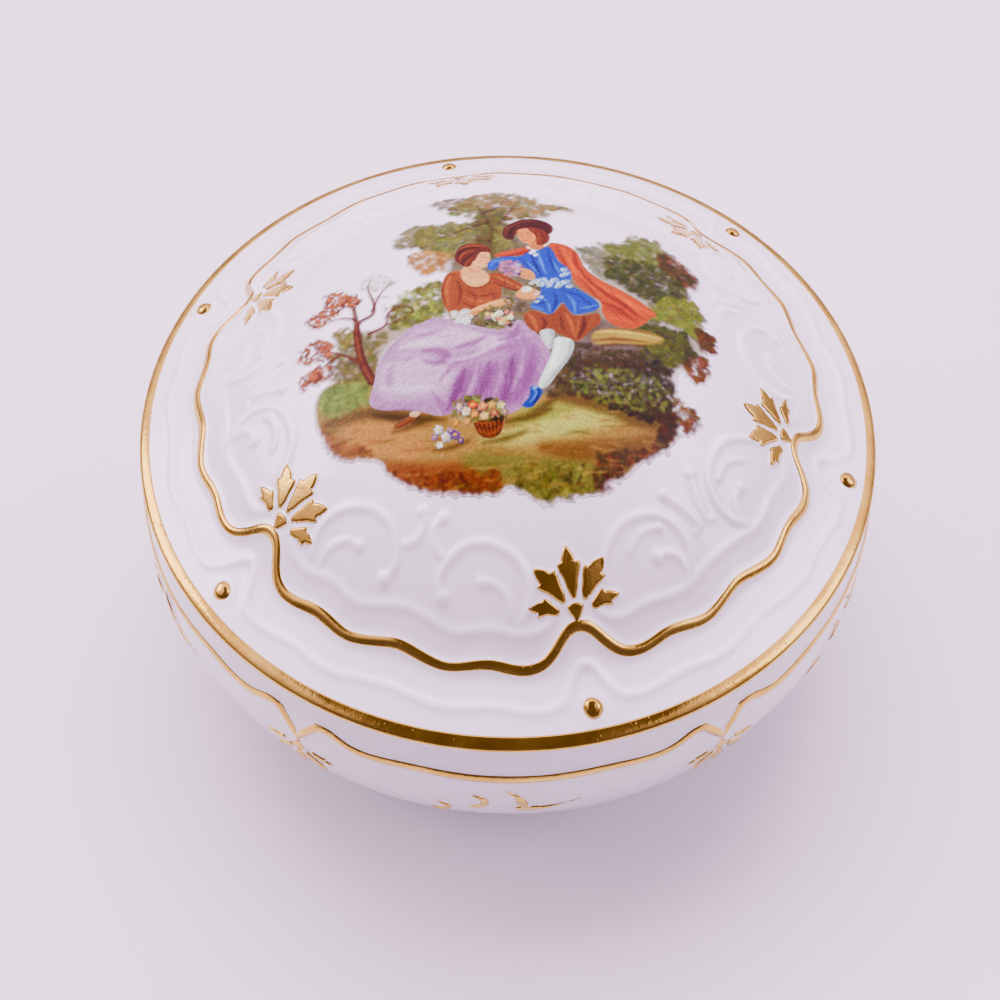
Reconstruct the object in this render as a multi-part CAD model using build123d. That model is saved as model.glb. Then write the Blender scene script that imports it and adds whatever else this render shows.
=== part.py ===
from build123d import *
from math import cos, sin, radians, hypot
import os

# Round porcelain trinket box: a bellied base on a foot ring and a loose domed lid.
# Millimetres. Origin: centre of the foot ring's bottom plane, +Z up along the box's axis.

# ---- base -------------------------------------------------------------------
BODY_HEIGHT = 41.0        # table to the rim the lid sits on
BULGE_OUT = 2.8           # the belly's widest part lies this far outside the lid's edge
BULGE_DROP = 13.0         # and this far below the rim
RIM_OUTSET = 0.7          # the rim's outside lies this far inside the lid's edge
FOOT_RADIUS = 38.5
FOOT_WIDTH = 3.2
FOOT_HEIGHT = 1.8
WALL = 3.4
FLOOR = 3.6
RIM_ROUND = 0.7

# ---- lid --------------------------------------------------------------------
LID_RADIUS = 57.5
LID_EDGE = 2.0            # height of the lid's plain outer edge
DOME_RISE = 20.3          # top of the dome above that edge
LID_WALL = 3.3
LIP_DEPTH = 4.5           # the ring under the lid that keeps it centred
LIP_WALL = 2.6
LIP_INSET = 5.6           # outside of the lip, inside the lid's edge
LIP_CLEARANCE = 0.6       # all round, between the lip and the base's mouth

# ---- applied layers -----------------------------------------------------------
GILDING = 0.10            # burnished gold line, fired on
TRANSFER = 0.06           # printed scene, fired on
RIM_BAND = 1.7            # width of the gold on the lid's edge
LINE_WIDTH = 1.35         # gold wave line
MOTIFS = 6
LID_TURN = -77.1          # azimuth of the first palmette on the lid, degrees
BASE_TURN = -58.5         # azimuth of the first palmette on the base
PALMETTE_INSET = 13.6     # root of a lid palmette, inside the lid's edge
PALMETTE_LENGTH = 9.0
BEAD_INSET = 4.2
BEAD_RADIUS = 1.45
BEAD_HEIGHT = 0.75
SCENE_GAP = 3.4           # between the palmettes' tips and the scene's mean edge
BASE_LINE_DROP = 4.9      # base's gold line below the rim
BASE_LINE_WIDTH = 1.5
BASE_POINT_DROP = 8.6     # point of the V under each kink, where a palmette hangs
SPRAY_DROP = 11.0         # middle of the gold sprays below the rim

BULGE_RADIUS = LID_RADIUS + BULGE_OUT
BULGE_HEIGHT = BODY_HEIGHT - BULGE_DROP
LIP_RADIUS = LID_RADIUS - LIP_INSET
MOUTH_RADIUS = LIP_RADIUS + LIP_CLEARANCE
RIM_RADIUS = LID_RADIUS - RIM_OUTSET
EDGE_TOP = BODY_HEIGHT + LID_EDGE
PITCH = 360.0 / MOTIFS


def solid_of(wire):
    """Turn a closed outline in the XZ plane about the axis."""
    return revolve(make_face(wire), Axis.Z)


def xz(points):
    return [Vector(x, 0, z) for x, z in points]


def rounding(a, b, bulge):
    """Arc from a to b that bows to its left by bulge."""
    t = (b - a).normalized()
    return ThreePointArc(a, (a + b) / 2 + Vector(-t.Z, 0, t.X) * bulge, b)


def curve(points, first, last):
    return Spline(*xz(points), tangents=[Vector(first[0], 0, first[1]), Vector(last[0], 0, last[1])])


def turned(edge, start):
    """Surface of a profile curve turned all the way round, its seam at one azimuth."""
    return Face.revolve(edge.rotate(Axis.Z, start), 360, Axis.Z)


def film(surface, prism, push):
    """Thin layer that lies on the surface where the prism stands, as thick as the push."""
    return [Solid.extrude(face, Vector(push)) for face in (surface & prism).faces()]


# ---- base -------------------------------------------------------------------
def belly(foot, bulge, low, rim, top):
    """Wall curve from (foot, low) out to the bulge and in again to (rim, top)."""
    pts = [(foot, low)]
    for a in (62, 45, 30, 15):
        pts.append((foot - 1.6 + (bulge - foot + 1.6) * cos(radians(a)),
                    BULGE_HEIGHT - (BULGE_HEIGHT - low) * sin(radians(a))))
    pts.append((bulge, BULGE_HEIGHT))
    up = top - BULGE_HEIGHT
    pts += [(bulge - 0.19 * (bulge - rim), BULGE_HEIGHT + 0.38 * up),
            (bulge - 0.52 * (bulge - rim), BULGE_HEIGHT + 0.68 * up), (rim, top)]
    return curve(pts, (1, 0.22), (-0.40, 1))


outside = belly(FOOT_RADIUS, BULGE_RADIUS, FOOT_HEIGHT, RIM_RADIUS, BODY_HEIGHT - RIM_ROUND)
floor_top = FOOT_HEIGHT + FLOOR
inner_foot = FOOT_RADIUS - 4.0
mouth_low = BODY_HEIGHT - LIP_DEPTH - 1.0
inside_pts = [(inner_foot, floor_top)]
for a in (60, 40, 20):
    inside_pts.append((inner_foot + (BULGE_RADIUS - WALL - inner_foot) * cos(radians(a)),
                       BULGE_HEIGHT - 1 - (BULGE_HEIGHT - 1 - floor_top) * sin(radians(a))))
inside_pts += [(BULGE_RADIUS - WALL, BULGE_HEIGHT - 1), (MOUTH_RADIUS, mouth_low)]
inside = curve(inside_pts, (1, 0.0), (-0.5, 1))

rim_out, rim_in = RIM_RADIUS - RIM_ROUND, MOUTH_RADIUS + RIM_ROUND
lip_top = BODY_HEIGHT - RIM_ROUND
base = solid_of([
    outside,
    rounding(outside @ 1, Vector(rim_out, 0, BODY_HEIGHT), -RIM_ROUND * 0.25),
    Line(Vector(rim_out, 0, BODY_HEIGHT), Vector(rim_in, 0, BODY_HEIGHT)),
    rounding(Vector(rim_in, 0, BODY_HEIGHT), Vector(MOUTH_RADIUS, 0, lip_top), -RIM_ROUND * 0.28),
    Line(Vector(MOUTH_RADIUS, 0, lip_top), inside @ 1),
    inside,
    Line(inside @ 0, Vector(0, 0, floor_top)),
    Line(Vector(0, 0, floor_top), Vector(0, 0, FOOT_HEIGHT)),
    Line(Vector(0, 0, FOOT_HEIGHT), Vector(FOOT_RADIUS - FOOT_WIDTH - 0.6, 0, FOOT_HEIGHT)),
    Line(Vector(FOOT_RADIUS - FOOT_WIDTH - 0.6, 0, FOOT_HEIGHT), Vector(FOOT_RADIUS - FOOT_WIDTH, 0, 0)),
    Line(Vector(FOOT_RADIUS - FOOT_WIDTH, 0, 0), Vector(FOOT_RADIUS - 0.5, 0, 0)),
    Line(Vector(FOOT_RADIUS - 0.5, 0, 0), outside @ 0),
]).rotate(Axis.Z, BASE_TURN + PITCH / 5)       # its seam runs between two motifs

# ---- lid --------------------------------------------------------------------
band_in = LID_RADIUS - RIM_BAND            # where the dome meets the flat rim band
band_top = EDGE_TOP + 0.45
EDGE_ROUND = 0.5


def dome(shares, radius, low, rise, out_slope):
    """Dome curve from the rim inward to the axis, given as shares of its own radius and rise."""
    return curve([(radius * a, low + rise * b) for a, b in shares], (-1, out_slope), (-1, 0))


# nearly flat flange, a steep shoulder under the gold wave line, then a round crown
over = [(1.0, 0.0), (0.955, 0.040), (0.905, 0.083), (0.860, 0.139), (0.824, 0.214), (0.7885, 0.295),
        (0.717, 0.446), (0.627, 0.602), (0.502, 0.763), (0.3405, 0.904), (0.161, 0.980), (0.0, 1.0)]
under = [(1.0, 0.0), (0.953, 0.050), (0.892, 0.177), (0.811, 0.354), (0.710, 0.539),
         (0.568, 0.727), (0.385, 0.890), (0.183, 0.975), (0.0, 1.0)]
top_curve = dome(over, band_in, band_top, DOME_RISE - 0.45, 0.28)
under_rim = LIP_RADIUS - LIP_WALL
under_low = BODY_HEIGHT + 0.9
lip_low = BODY_HEIGHT - LIP_DEPTH
under_curve = dome(under, under_rim, under_low, DOME_RISE + EDGE_TOP - LID_WALL - under_low, 0.30)
flat_out = LID_RADIUS - 0.5
lid = solid_of([
    top_curve,
    Line(top_curve @ 0, Vector(LID_RADIUS - EDGE_ROUND, 0, EDGE_TOP + 0.05)),
    rounding(Vector(LID_RADIUS - EDGE_ROUND, 0, EDGE_TOP + 0.05),
             Vector(LID_RADIUS, 0, EDGE_TOP - EDGE_ROUND), 0.15),
    Line(Vector(LID_RADIUS, 0, EDGE_TOP - EDGE_ROUND), Vector(LID_RADIUS, 0, BODY_HEIGHT + 0.5)),
    rounding(Vector(LID_RADIUS, 0, BODY_HEIGHT + 0.5), Vector(flat_out, 0, BODY_HEIGHT), 0.14),
    Line(Vector(flat_out, 0, BODY_HEIGHT), Vector(LIP_RADIUS, 0, BODY_HEIGHT)),
    Line(Vector(LIP_RADIUS, 0, BODY_HEIGHT), Vector(LIP_RADIUS, 0, lip_low + 0.8)),
    Line(Vector(LIP_RADIUS, 0, lip_low + 0.8), Vector(LIP_RADIUS - 0.8, 0, lip_low)),
    Line(Vector(LIP_RADIUS - 0.8, 0, lip_low), Vector(under_rim + 0.6, 0, lip_low)),
    Line(Vector(under_rim + 0.6, 0, lip_low), Vector(under_rim, 0, lip_low + 0.6)),
    Line(Vector(under_rim, 0, lip_low + 0.6), under_curve @ 0),
    under_curve,
    Line(under_curve @ 1, top_curve @ 1),
])


# ---- outlines of the gilding, in a flat frame: u across, w from the root to the tip --------
def leaf(length, half, start, angle):
    """Fleur-tipped leaf: a stem that widens to two barbs and a pointed middle lobe."""
    side = [(start, 0.28), (length * 0.50, half * 0.42), (length * 0.66, half * 0.66),
            (length * 0.76, half), (length * 0.83, half * 0.58), (length * 0.91, half * 0.50)]
    pts = side + [(length, 0.0)] + [(s, -t) for s, t in reversed(side)]
    ca, sa = cos(radians(angle)), sin(radians(angle))
    return [(s * sa + t * ca, s * ca - t * sa) for s, t in pts]


def palmette(length):
    """Five leaves that fan out of a small cup."""
    cup = [(0, 0.8), (0.6, 1.3), (1.0, 2.0), (0.5, 2.25), (-0.5, 2.25), (-1.0, 2.0), (-0.6, 1.3)]
    leaves = [leaf(length, 1.40, 2.75, 0)]
    for s in (-1, 1):
        leaves.append(leaf(length * 0.92, 1.30, 2.9, 31 * s))
        leaves.append(leaf(length * 0.68, 0.80, 2.7, 56 * s))
    return [cup] + leaves


def comma(pts, widths):
    """Tapered stroke along a few points."""
    line = Spline(*[Vector(x, y) for x, y in pts])
    left, right = [], []
    n = len(widths) - 1
    for i, wd in enumerate(widths):
        p, t = line.position_at(i / n), line.tangent_at(i / n)
        left.append(Vector(p.X - t.Y * wd / 2, p.Y + t.X * wd / 2))
        right.append(Vector(p.X + t.Y * wd / 2, p.Y - t.X * wd / 2))
    return make_face([Spline(*left), Line(left[-1], right[-1]),
                      Spline(*reversed(right)), Line(right[0], left[0])])


def wave(k):
    """Outline of one repeat of the lid's wave line, from one palmette's root to the next."""
    half = [(2.2, 0.55), (4.0, 1.95), (6.0, 3.35), (8.5, 4.05), (11, 4.0), (14.5, 3.55),
            (18, 3.8), (21.5, 4.2), (25, 3.8), (28, 3.25)]
    both = [(0, 0)] + half + [(30, 3.05)] + [(60 - a, d) for a, d in reversed(half)] + [(60, 0)]
    root = LID_RADIUS - PALMETTE_INSET
    sides = []
    for side in (1, -1):
        pts = []
        for i, (a, d) in enumerate(both):
            slope = 0.0
            if 0 < i < len(both) - 1:
                run = (both[i + 1][0] - both[i - 1][0]) / 60.0 * PITCH
                slope = (both[i + 1][1] - both[i - 1][1]) / (radians(run) * (root + d))
            r = root + d + side * LINE_WIDTH / 2 * hypot(1, slope)
            th = radians(LID_TURN + PITCH * (k + a / 60.0))
            pts.append(Vector(r * cos(th), r * sin(th)))
        sides.append(pts)
    outer, inner = sides
    ends = radians(LID_TURN + PITCH * k), radians(LID_TURN + PITCH * (k + 1))
    t0, t1 = [Vector(-sin(e), cos(e)) for e in ends]
    return make_face([Spline(*outer, tangents=[t0, t1]), Line(outer[-1], inner[-1]),
                      Spline(*reversed(inner), tangents=[-t1, -t0]), Line(inner[0], outer[0])])


def lid_prisms(outlines):
    """Upright prisms through the lid at every motif, from outlines whose w points to the axis."""
    got = []
    for k in range(MOTIFS):
        th = radians(LID_TURN + PITCH * k)
        r = LID_RADIUS - PALMETTE_INSET
        plane = Plane(origin=(r * cos(th), r * sin(th), BODY_HEIGHT), x_dir=(-sin(th), cos(th), 0),
                      z_dir=(0, 0, 1))
        got += [extrude(plane * make_face(Polyline(*pts, close=True)), DOME_RISE + 8) for pts in outlines]
    return got


def facing(turn, drop):
    """Upright plane through the axis that looks out at one azimuth, at a drop below the rim."""
    th = radians(turn)
    return Plane(origin=(0, 0, BODY_HEIGHT - drop), x_dir=(-sin(th), cos(th), 0),
                 z_dir=(cos(th), sin(th), 0))


def outward(turn):
    return GILDING * cos(radians(turn)), GILDING * sin(radians(turn)), 0


def wall_layer(faces, turn, drop):
    """Films on the belly at every motif, from faces whose up is up the wall, at a drop below the rim."""
    got = []
    wall = turned(outside, turn + PITCH / 2)
    for k in range(MOTIFS):
        at = turn + PITCH * k
        for face in faces:
            got += film(wall, extrude(facing(at, drop) * face, BULGE_RADIUS + 5), outward(at))
    return got


# ---- applied layers on the lid ------------------------------------------------
UP = Vector(0, 0, GILDING)
crest = Vector(LID_RADIUS - EDGE_ROUND, 0, EDGE_TOP + 0.05)
band = make_face([
    Line(top_curve @ 0, crest), Line(crest, crest + UP),
    Line(crest + UP, (top_curve @ 0) + UP), Line((top_curve @ 0) + UP, top_curve @ 0),
])
rim_gilding = revolve(band, Axis.Z)

by_line, by_leaf = turned(top_curve, LID_TURN), turned(top_curve, LID_TURN + PITCH / 2)
wave_gilding, lid_palmettes = [], []
for k in range(MOTIFS):
    wave_gilding += film(by_line, Pos(0, 0, EDGE_TOP) * extrude(wave(k), DOME_RISE + 8), UP)
for prism in lid_prisms(palmette(PALMETTE_LENGTH)):
    lid_palmettes += film(by_leaf, prism, UP)

bead_r = LID_RADIUS - BEAD_INSET
ball = (BEAD_RADIUS ** 2 + BEAD_HEIGHT ** 2) / (2 * BEAD_HEIGHT)


def find_height(r):
    lo, hi = 0.0, 1.0
    for _ in range(40):
        mid = (lo + hi) / 2
        if top_curve.position_at(mid).X > r:
            lo = mid
        else:
            hi = mid
    return top_curve.position_at(lo).Z


beads = []
for k in range(MOTIFS):
    th = radians(LID_TURN + PITCH * k)
    centre = Pos(bead_r * cos(th), bead_r * sin(th), find_height(bead_r) + BEAD_HEIGHT - ball)
    beads.append((centre * Sphere(ball)) - lid)

scene_mean = LID_RADIUS - PALMETTE_INSET - PALMETTE_LENGTH - SCENE_GAP
lobes = 24
scalloped = []
for i in range(lobes):
    ends = []
    for a, swell in ((i, 0), (i + 0.5, 0.8), (i + 1, 0)):
        th = radians(a * 360 / lobes)
        r = scene_mean + 0.5 * sin(3 * th + 0.6) - 0.4 + swell
        ends.append(Vector(r * cos(th), r * sin(th)))
    scalloped.append(ThreePointArc(*ends))
column = Pos(0, 0, EDGE_TOP) * extrude(make_face(scalloped), DOME_RISE + 8)
scene = film(by_line, column, (0, 0, TRANSFER))

# ---- applied layers on the base -----------------------------------------------
half_turn = PITCH / 2
reach = RIM_RADIUS * sin(radians(half_turn))
point = BASE_POINT_DROP - BASE_LINE_DROP
sag = 0.7
hw = BASE_LINE_WIDTH / 2
mids = [(2.7, -0.35), (reach * 0.2, 0.1), (reach * 0.55, sag * 0.7), (reach + 3, sag)]
mids = [(-x, w) for x, w in reversed(mids)] + [(0, point)] + mids
kinked = make_face(Polyline(*[(x, hw - w) for x, w in mids],
                            *[(x, -w - hw) for x, w in reversed(mids)], close=True))
far = 2 * BULGE_RADIUS * Vector(cos(radians(half_turn)), sin(radians(half_turn)))
sector = make_face(Polyline((0, 0), (far.X, -far.Y), (far.X, far.Y), close=True))
base_line = []
for k in range(MOTIFS):
    turn = BASE_TURN + PITCH * k
    wedge = Rot(0, 0, turn) * extrude(sector, BODY_HEIGHT)
    prism = extrude(facing(turn, BASE_LINE_DROP) * kinked, BULGE_RADIUS + 5) & wedge
    base_line += film(turned(outside, turn + 180), prism, outward(turn))

hang = []
for pts in palmette(PALMETTE_LENGTH * 0.95):
    hang.append(make_face(Polyline(*[(u, -w) for u, w in pts], close=True)))
base_palmettes = wall_layer(hang, BASE_TURN, BASE_POINT_DROP + hw + 0.2)

sprays = [
    comma([(-0.4, 3.4), (0.9, 1.6), (1.6, -0.6), (4.6, -1.2), (9.4, 0.2)], [0.5, 1.3, 1.9, 1.1, 0.7, 0.35]),
    comma([(-4.6, 2.2), (-3.5, 1.0), (-4.2, -1.0), (-6.0, -1.4)], [0.4, 1.1, 1.2, 0.4]),
    comma([(-9.0, -1.4), (-8.4, -2.8), (-9.6, -4.2), (-11.4, -4.0)], [0.4, 1.0, 1.0, 0.35]),
]
base_sprays = wall_layer(sprays, BASE_TURN + half_turn, SPRAY_DROP)

nodes = {
    "base_porcelain": base,
    "base_line_gilding": base_line,
    "base_palmettes": base_palmettes,
    "base_sprays": base_sprays,
    "lid_porcelain": lid,
    "lid_rim_gilding": rim_gilding,
    "lid_wave_gilding": wave_gilding,
    "lid_palmettes": lid_palmettes,
    "lid_beads": beads,
    "scene_transfer": scene,
}
os.makedirs("parts", exist_ok=True)
for name, shape in nodes.items():
    whole = Compound(children=shape) if isinstance(shape, list) else shape
    export_step(whole, f"parts/{name}.step")
    print(name, len(whole.solids()), round(whole.volume, 2))
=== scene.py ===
import math

import bpy
import numpy as np
from mathutils import Matrix, Vector


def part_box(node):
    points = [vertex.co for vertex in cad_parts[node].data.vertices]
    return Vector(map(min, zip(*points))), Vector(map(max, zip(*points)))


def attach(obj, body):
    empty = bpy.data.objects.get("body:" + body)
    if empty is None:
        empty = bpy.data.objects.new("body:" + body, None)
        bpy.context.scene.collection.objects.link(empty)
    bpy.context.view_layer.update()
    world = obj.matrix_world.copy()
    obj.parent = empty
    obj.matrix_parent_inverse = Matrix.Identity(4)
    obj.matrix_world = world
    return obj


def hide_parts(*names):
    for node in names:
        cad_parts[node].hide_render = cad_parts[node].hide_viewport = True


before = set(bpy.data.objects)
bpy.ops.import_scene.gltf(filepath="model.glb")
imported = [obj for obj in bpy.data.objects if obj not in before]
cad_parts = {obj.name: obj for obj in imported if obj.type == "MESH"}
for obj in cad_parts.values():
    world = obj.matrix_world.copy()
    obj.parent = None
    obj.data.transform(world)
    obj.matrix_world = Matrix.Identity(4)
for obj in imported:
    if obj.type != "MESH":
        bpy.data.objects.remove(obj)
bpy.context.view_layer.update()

# ------------------------------------------------------------------ sizes, in millimetres
lid_high = np.array(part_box("lid_porcelain")[1]) * 1000
base_high = np.array(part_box("base_porcelain")[1]) * 1000
LID_R = lid_high[0]
BELLY_R = base_high[0]
RIM = base_high[2]                 # where the lid sits
EDGE_HEIGHT = 2.0
EDGE = RIM + EDGE_HEIGHT           # top of the lid's plain edge
CROWN = lid_high[2] - EDGE
TURN = math.radians(-77.1)         # first palmette on the lid
BASE_TURN = math.radians(-58.5)    # first palmette on the base
ROOT_R = LID_R - 13.6              # palmette root
BEAD_R = LID_R - 4.2               # middle of each bead
LINE_DROP = 4.9                    # base's gold line below the rim
POINT = 8.6                        # and its points
SPRAY_DROP = 12.6
LID_WALL = 3.3
FLOOR_TOP = 5.4                    # inside of the bowl
FOOT_HEIGHT = 1.8
SIXTH = math.pi / 3


def curve_through(xs, ys, ends=(None, None), loop=None):
    """Smooth curve through a few points; ends gives the slope there, loop the period."""
    xs, ys = np.array(xs, float), np.array(ys, float)
    if loop:
        xs = np.concatenate([xs[-3:] - loop, xs, xs[:3] + loop])
        ys = np.concatenate([ys[-3:], ys, ys[:3]])
    n = len(xs)
    a, b = np.zeros((n, n)), np.zeros(n)
    h = np.diff(xs)
    g = np.diff(ys) / h
    for i in range(1, n - 1):
        a[i, i - 1:i + 2] = h[i], 2 * (h[i - 1] + h[i]), h[i - 1]
        b[i] = 3 * (h[i] * g[i - 1] + h[i - 1] * g[i])
    for i, j, k in ((0, 1, 0), (n - 1, n - 2, 1)):
        a[i, i] = 1.0
        if ends[k] is None:
            a[i, j], b[i] = 0.5, 1.5 * g[0 if i == 0 else -1]
        else:
            b[i] = ends[k]
    m = np.linalg.solve(a, b)

    def at(x):
        x = np.asarray(x, float)
        if loop:
            x = np.mod(x, loop)
        i = np.clip(np.searchsorted(xs, x) - 1, 0, n - 2)
        t = (x - xs[i]) / h[i]
        t = np.clip(t, 0, 1)
        return ((2 * t - 3) * t * t + 1) * ys[i] + ((t - 2) * t + 1) * t * h[i] * m[i] \
            + (3 - 2 * t) * t * t * ys[i + 1] + (t - 1) * t * t * h[i] * m[i + 1]

    return at


def ease(lo, hi, x):
    t = np.clip((x - lo) / (hi - lo), 0, 1)
    return t * t * (3 - 2 * t)


def bumps(x, y, z, wave, seed, count=14):
    """Gentle unevenness, about -1 to 1, of one wavelength."""
    rng = np.random.default_rng(seed)
    out = 0.0
    for _ in range(count):
        d = rng.normal(size=3)
        d *= 2 * math.pi / wave * rng.uniform(0.6, 1.5) / np.linalg.norm(d)
        out = out + np.sin(x * d[0] + y * d[1] + z * d[2] + rng.uniform(0, 7))
    return out / math.sqrt(count)


# ------------------------------------------------------------------ relief of the lid
def mirrored(half, middle):
    """Points of one sixth, as (degrees, mm), from its left half and the middle point."""
    return half + [middle] + [(60 - a, d) for a, d in reversed(half) if a > 0]


def sixth_curve(half, middle):
    pts = mirrored(half, middle)
    return curve_through([a for a, _ in pts], [d for _, d in pts], loop=60)


gold_wave = sixth_curve([(0, 0), (2.2, 0.55), (4.0, 1.95), (6.0, 3.35), (8.5, 4.05), (11, 4.0), (14.5, 3.55),
                         (18, 3.8), (21.5, 4.2), (25, 3.8), (28, 3.25)], (30, 3.05))
outer_wave = sixth_curve([(0, 4.0), (1.6, 4.8), (3.9, 7.9), (6.0, 9.0), (10, 8.9), (15, 8.4), (20, 8.95),
                          (25, 8.5)], (30, 8.0))
inner_line = {0: curve_through([2.6, 4.8, 7.5, 12, 17, 21, 25, 30, 35, 39, 43, 48, 52.5, 55.2, 57.4],
                               [41.4, 43.2, 44.0, 43.6, 43.9, 44.0, 43.4, 43.0, 43.4, 44.0, 43.9, 43.6,
                                44.0, 43.2, 41.4]),
              1: curve_through([2.6, 5, 8, 11, 14, 17, 20, 23, 26.5, 30, 33.5, 37, 40, 43, 46, 49, 52, 55,
                                57.4],
                               [41.2, 43.2, 44.1, 44.2, 43.7, 43.8, 44.3, 44.1, 43.3, 42.9, 43.3, 44.1,
                                44.3, 43.8,
                                43.7, 44.2, 44.1, 43.2, 41.2])}

# scrolls between the palmettes: degrees from the palmette and radius; then half width, height, end curl
SCROLLS = {
    1: [([(11.5, 43.6), (9.0, 42.0), (8.0, 39.8), (9.0, 37.2), (12.5, 35.1), (17, 34.3), (21.5, 35.0),
          (24.6, 37.2), (25.5, 39.3), (24.3, 41.0)], 0.55, 0.42, 0.85),
        ([(12, 43.2), (11.7, 41.5), (12.8, 39.8), (15, 38.8), (17.2, 38.8)], 0.45, 0.34, 0.70),
        ([(24.8, 36.9), (27.3, 36.0), (28.7, 34.6), (28.5, 33.0), (27.4, 32.2)], 0.55, 0.34, 0.75)],
    0: [([(19.5, 43.9), (22.7, 42.5), (24.6, 40.2), (24.2, 37.3), (21.8, 35.3), (17, 34.3), (12, 34.7),
          (8.5, 36.5), (6.6, 39.0), (7.2, 40.7)], 0.55, 0.42, 0.0),
        ([(21.8, 42.8), (22.2, 41.4), (20.8, 39.9), (17.9, 39.5)], 0.50, 0.36, 0.80),
        ([(12.2, 38.4), (14.2, 37.0), (17.5, 36.2), (20.8, 36.7)], 0.42, 0.32, 0.55),
        ([(29.1, 39.3), (28.5, 37.5), (27.3, 35.6), (25.7, 33.8)], 0.62, 0.38, 0.80),
        ([(26.8, 39.7), (28.3, 39.3), (30, 39.2)], 0.40, 0.22, 0.0)],
}


def stroke_height(px, py, pts, half, tall, curl, rise=0.14):
    """Height of one rounded stroke at the points px, py, with an optional rounded end."""
    line = np.array(pts, float)
    s = np.concatenate([[0], np.cumsum(np.hypot(*np.diff(line, axis=0).T))])
    t = np.linspace(0, 1, 34) * s[-1]
    cx, cy = curve_through(s, line[:, 0])(t), curve_through(s, line[:, 1])(t)
    best = np.full(px.shape, 1e9)
    where = np.zeros(px.shape)
    for i in range(len(t) - 1):
        ax, ay, bx, by = cx[i], cy[i], cx[i + 1], cy[i + 1]
        ll = (bx - ax) ** 2 + (by - ay) ** 2
        k = np.clip(((px - ax) * (bx - ax) + (py - ay) * (by - ay)) / ll, 0, 1)
        d = (px - ax - k * (bx - ax)) ** 2 + (py - ay - k * (by - ay)) ** 2
        near = d < best
        best = np.where(near, d, best)
        where = np.where(near, (i + k) / (len(t) - 1), where)
    body = ease(-0.02, rise, where) * (1.0 if curl else ease(-0.02, rise, 1 - where))
    out = tall * body * np.exp(-best / (half * (0.75 + 0.35 * np.sin(where * math.pi))) ** 2)
    if curl:
        d = (px - cx[-1]) ** 2 + (py - cy[-1]) ** 2
        out = np.maximum(out, tall * 1.35 * np.exp(-(d / curl ** 2) ** 1.5))
    return out


def flat(a, r):
    """Place in one sixth's own flat frame: degrees from the palmette and radius to mm."""
    a = np.radians(np.asarray(a, float) - 30)
    return r * np.sin(a), r * np.cos(a)


def fleur(length, half, start, angle, bend=0):
    """Leaf that widens to two barbs and a pointed tip, root at the origin, bending outward as it grows."""
    side = [(start, 0.26), (length * 0.45, half * 0.46), (length * 0.58, half * 0.66),
            (length * 0.70, half * 0.97),
            (length * 0.775, half * 1.06), (length * 0.79, half * 0.64), (length * 0.86, half * 0.55),
            (length * 0.94, half * 0.31)]
    out = []
    for s, t in side + [(length, 0.0)] + [(s, -t) for s, t in reversed(side)]:
        a = math.radians(angle + bend * (s / length) ** 2)
        out.append((s * math.sin(a) + t * math.cos(a), s * math.cos(a) - t * math.sin(a)))
    return np.array(out)


def palmette(length, full=1.0):
    """Cup with five leaves over it."""
    cup = np.array([(0.12, 0.2), (0.5, 0.9), (0.95, 1.6), (1.15, 2.2), (0.6, 2.5), (0, 2.6), (-0.6, 2.5),
                    (-1.15, 2.2), (-0.95, 1.6), (-0.5, 0.9), (-0.12, 0.2)])
    out = [cup, fleur(length, 1.55 * full, 2.95, 0)]
    for s in (-1, 1):
        out.append(fleur(length * 0.94, 1.50 * full, 3.0, 25 * s, 9 * s))
        out.append(fleur(length * 0.76, 1.08 * full, 2.8, 50 * s, 16 * s))
    return out


def inside_by(px, py, outline):
    """How far inside an outline each point lies; negative outside."""
    best = np.full(px.shape, 1e9)
    odd = np.zeros(px.shape, bool)
    q = np.roll(outline, -1, axis=0)
    for (ax, ay), (bx, by) in zip(outline, q):
        ll = (bx - ax) ** 2 + (by - ay) ** 2
        k = np.clip(((px - ax) * (bx - ax) + (py - ay) * (by - ay)) / ll, 0, 1)
        best = np.minimum(best, (px - ax - k * (bx - ax)) ** 2 + (py - ay - k * (by - ay)) ** 2)
        if ay != by:
            cross = (ay > py) != (by > py)
            odd ^= cross & (px < (bx - ax) * (py - ay) / (by - ay) + ax)
    return np.where(odd, 1, -1) * np.sqrt(best)


LEAVES = palmette(9.0)


def leaf_relief(u, w, leaves, tall):
    best = np.full(u.shape, -9.0)
    for one in leaves:
        best = np.maximum(best, inside_by(u, w, one))
    return tall * ease(-0.28, 0.34, best)


crown_line = curve_through([0, 9, 19, 28, 35, 40, 44, 46, 48, 50.5, 53.3, 55.8, 57.0, 57.6],
                           [20.3, 19.9, 18.4, 15.6, 12.4, 9.3, 6.3, 4.7, 3.2, 2.1, 1.25, 0.45, 0.10, -0.1],
                           (0, -0.3))


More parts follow.
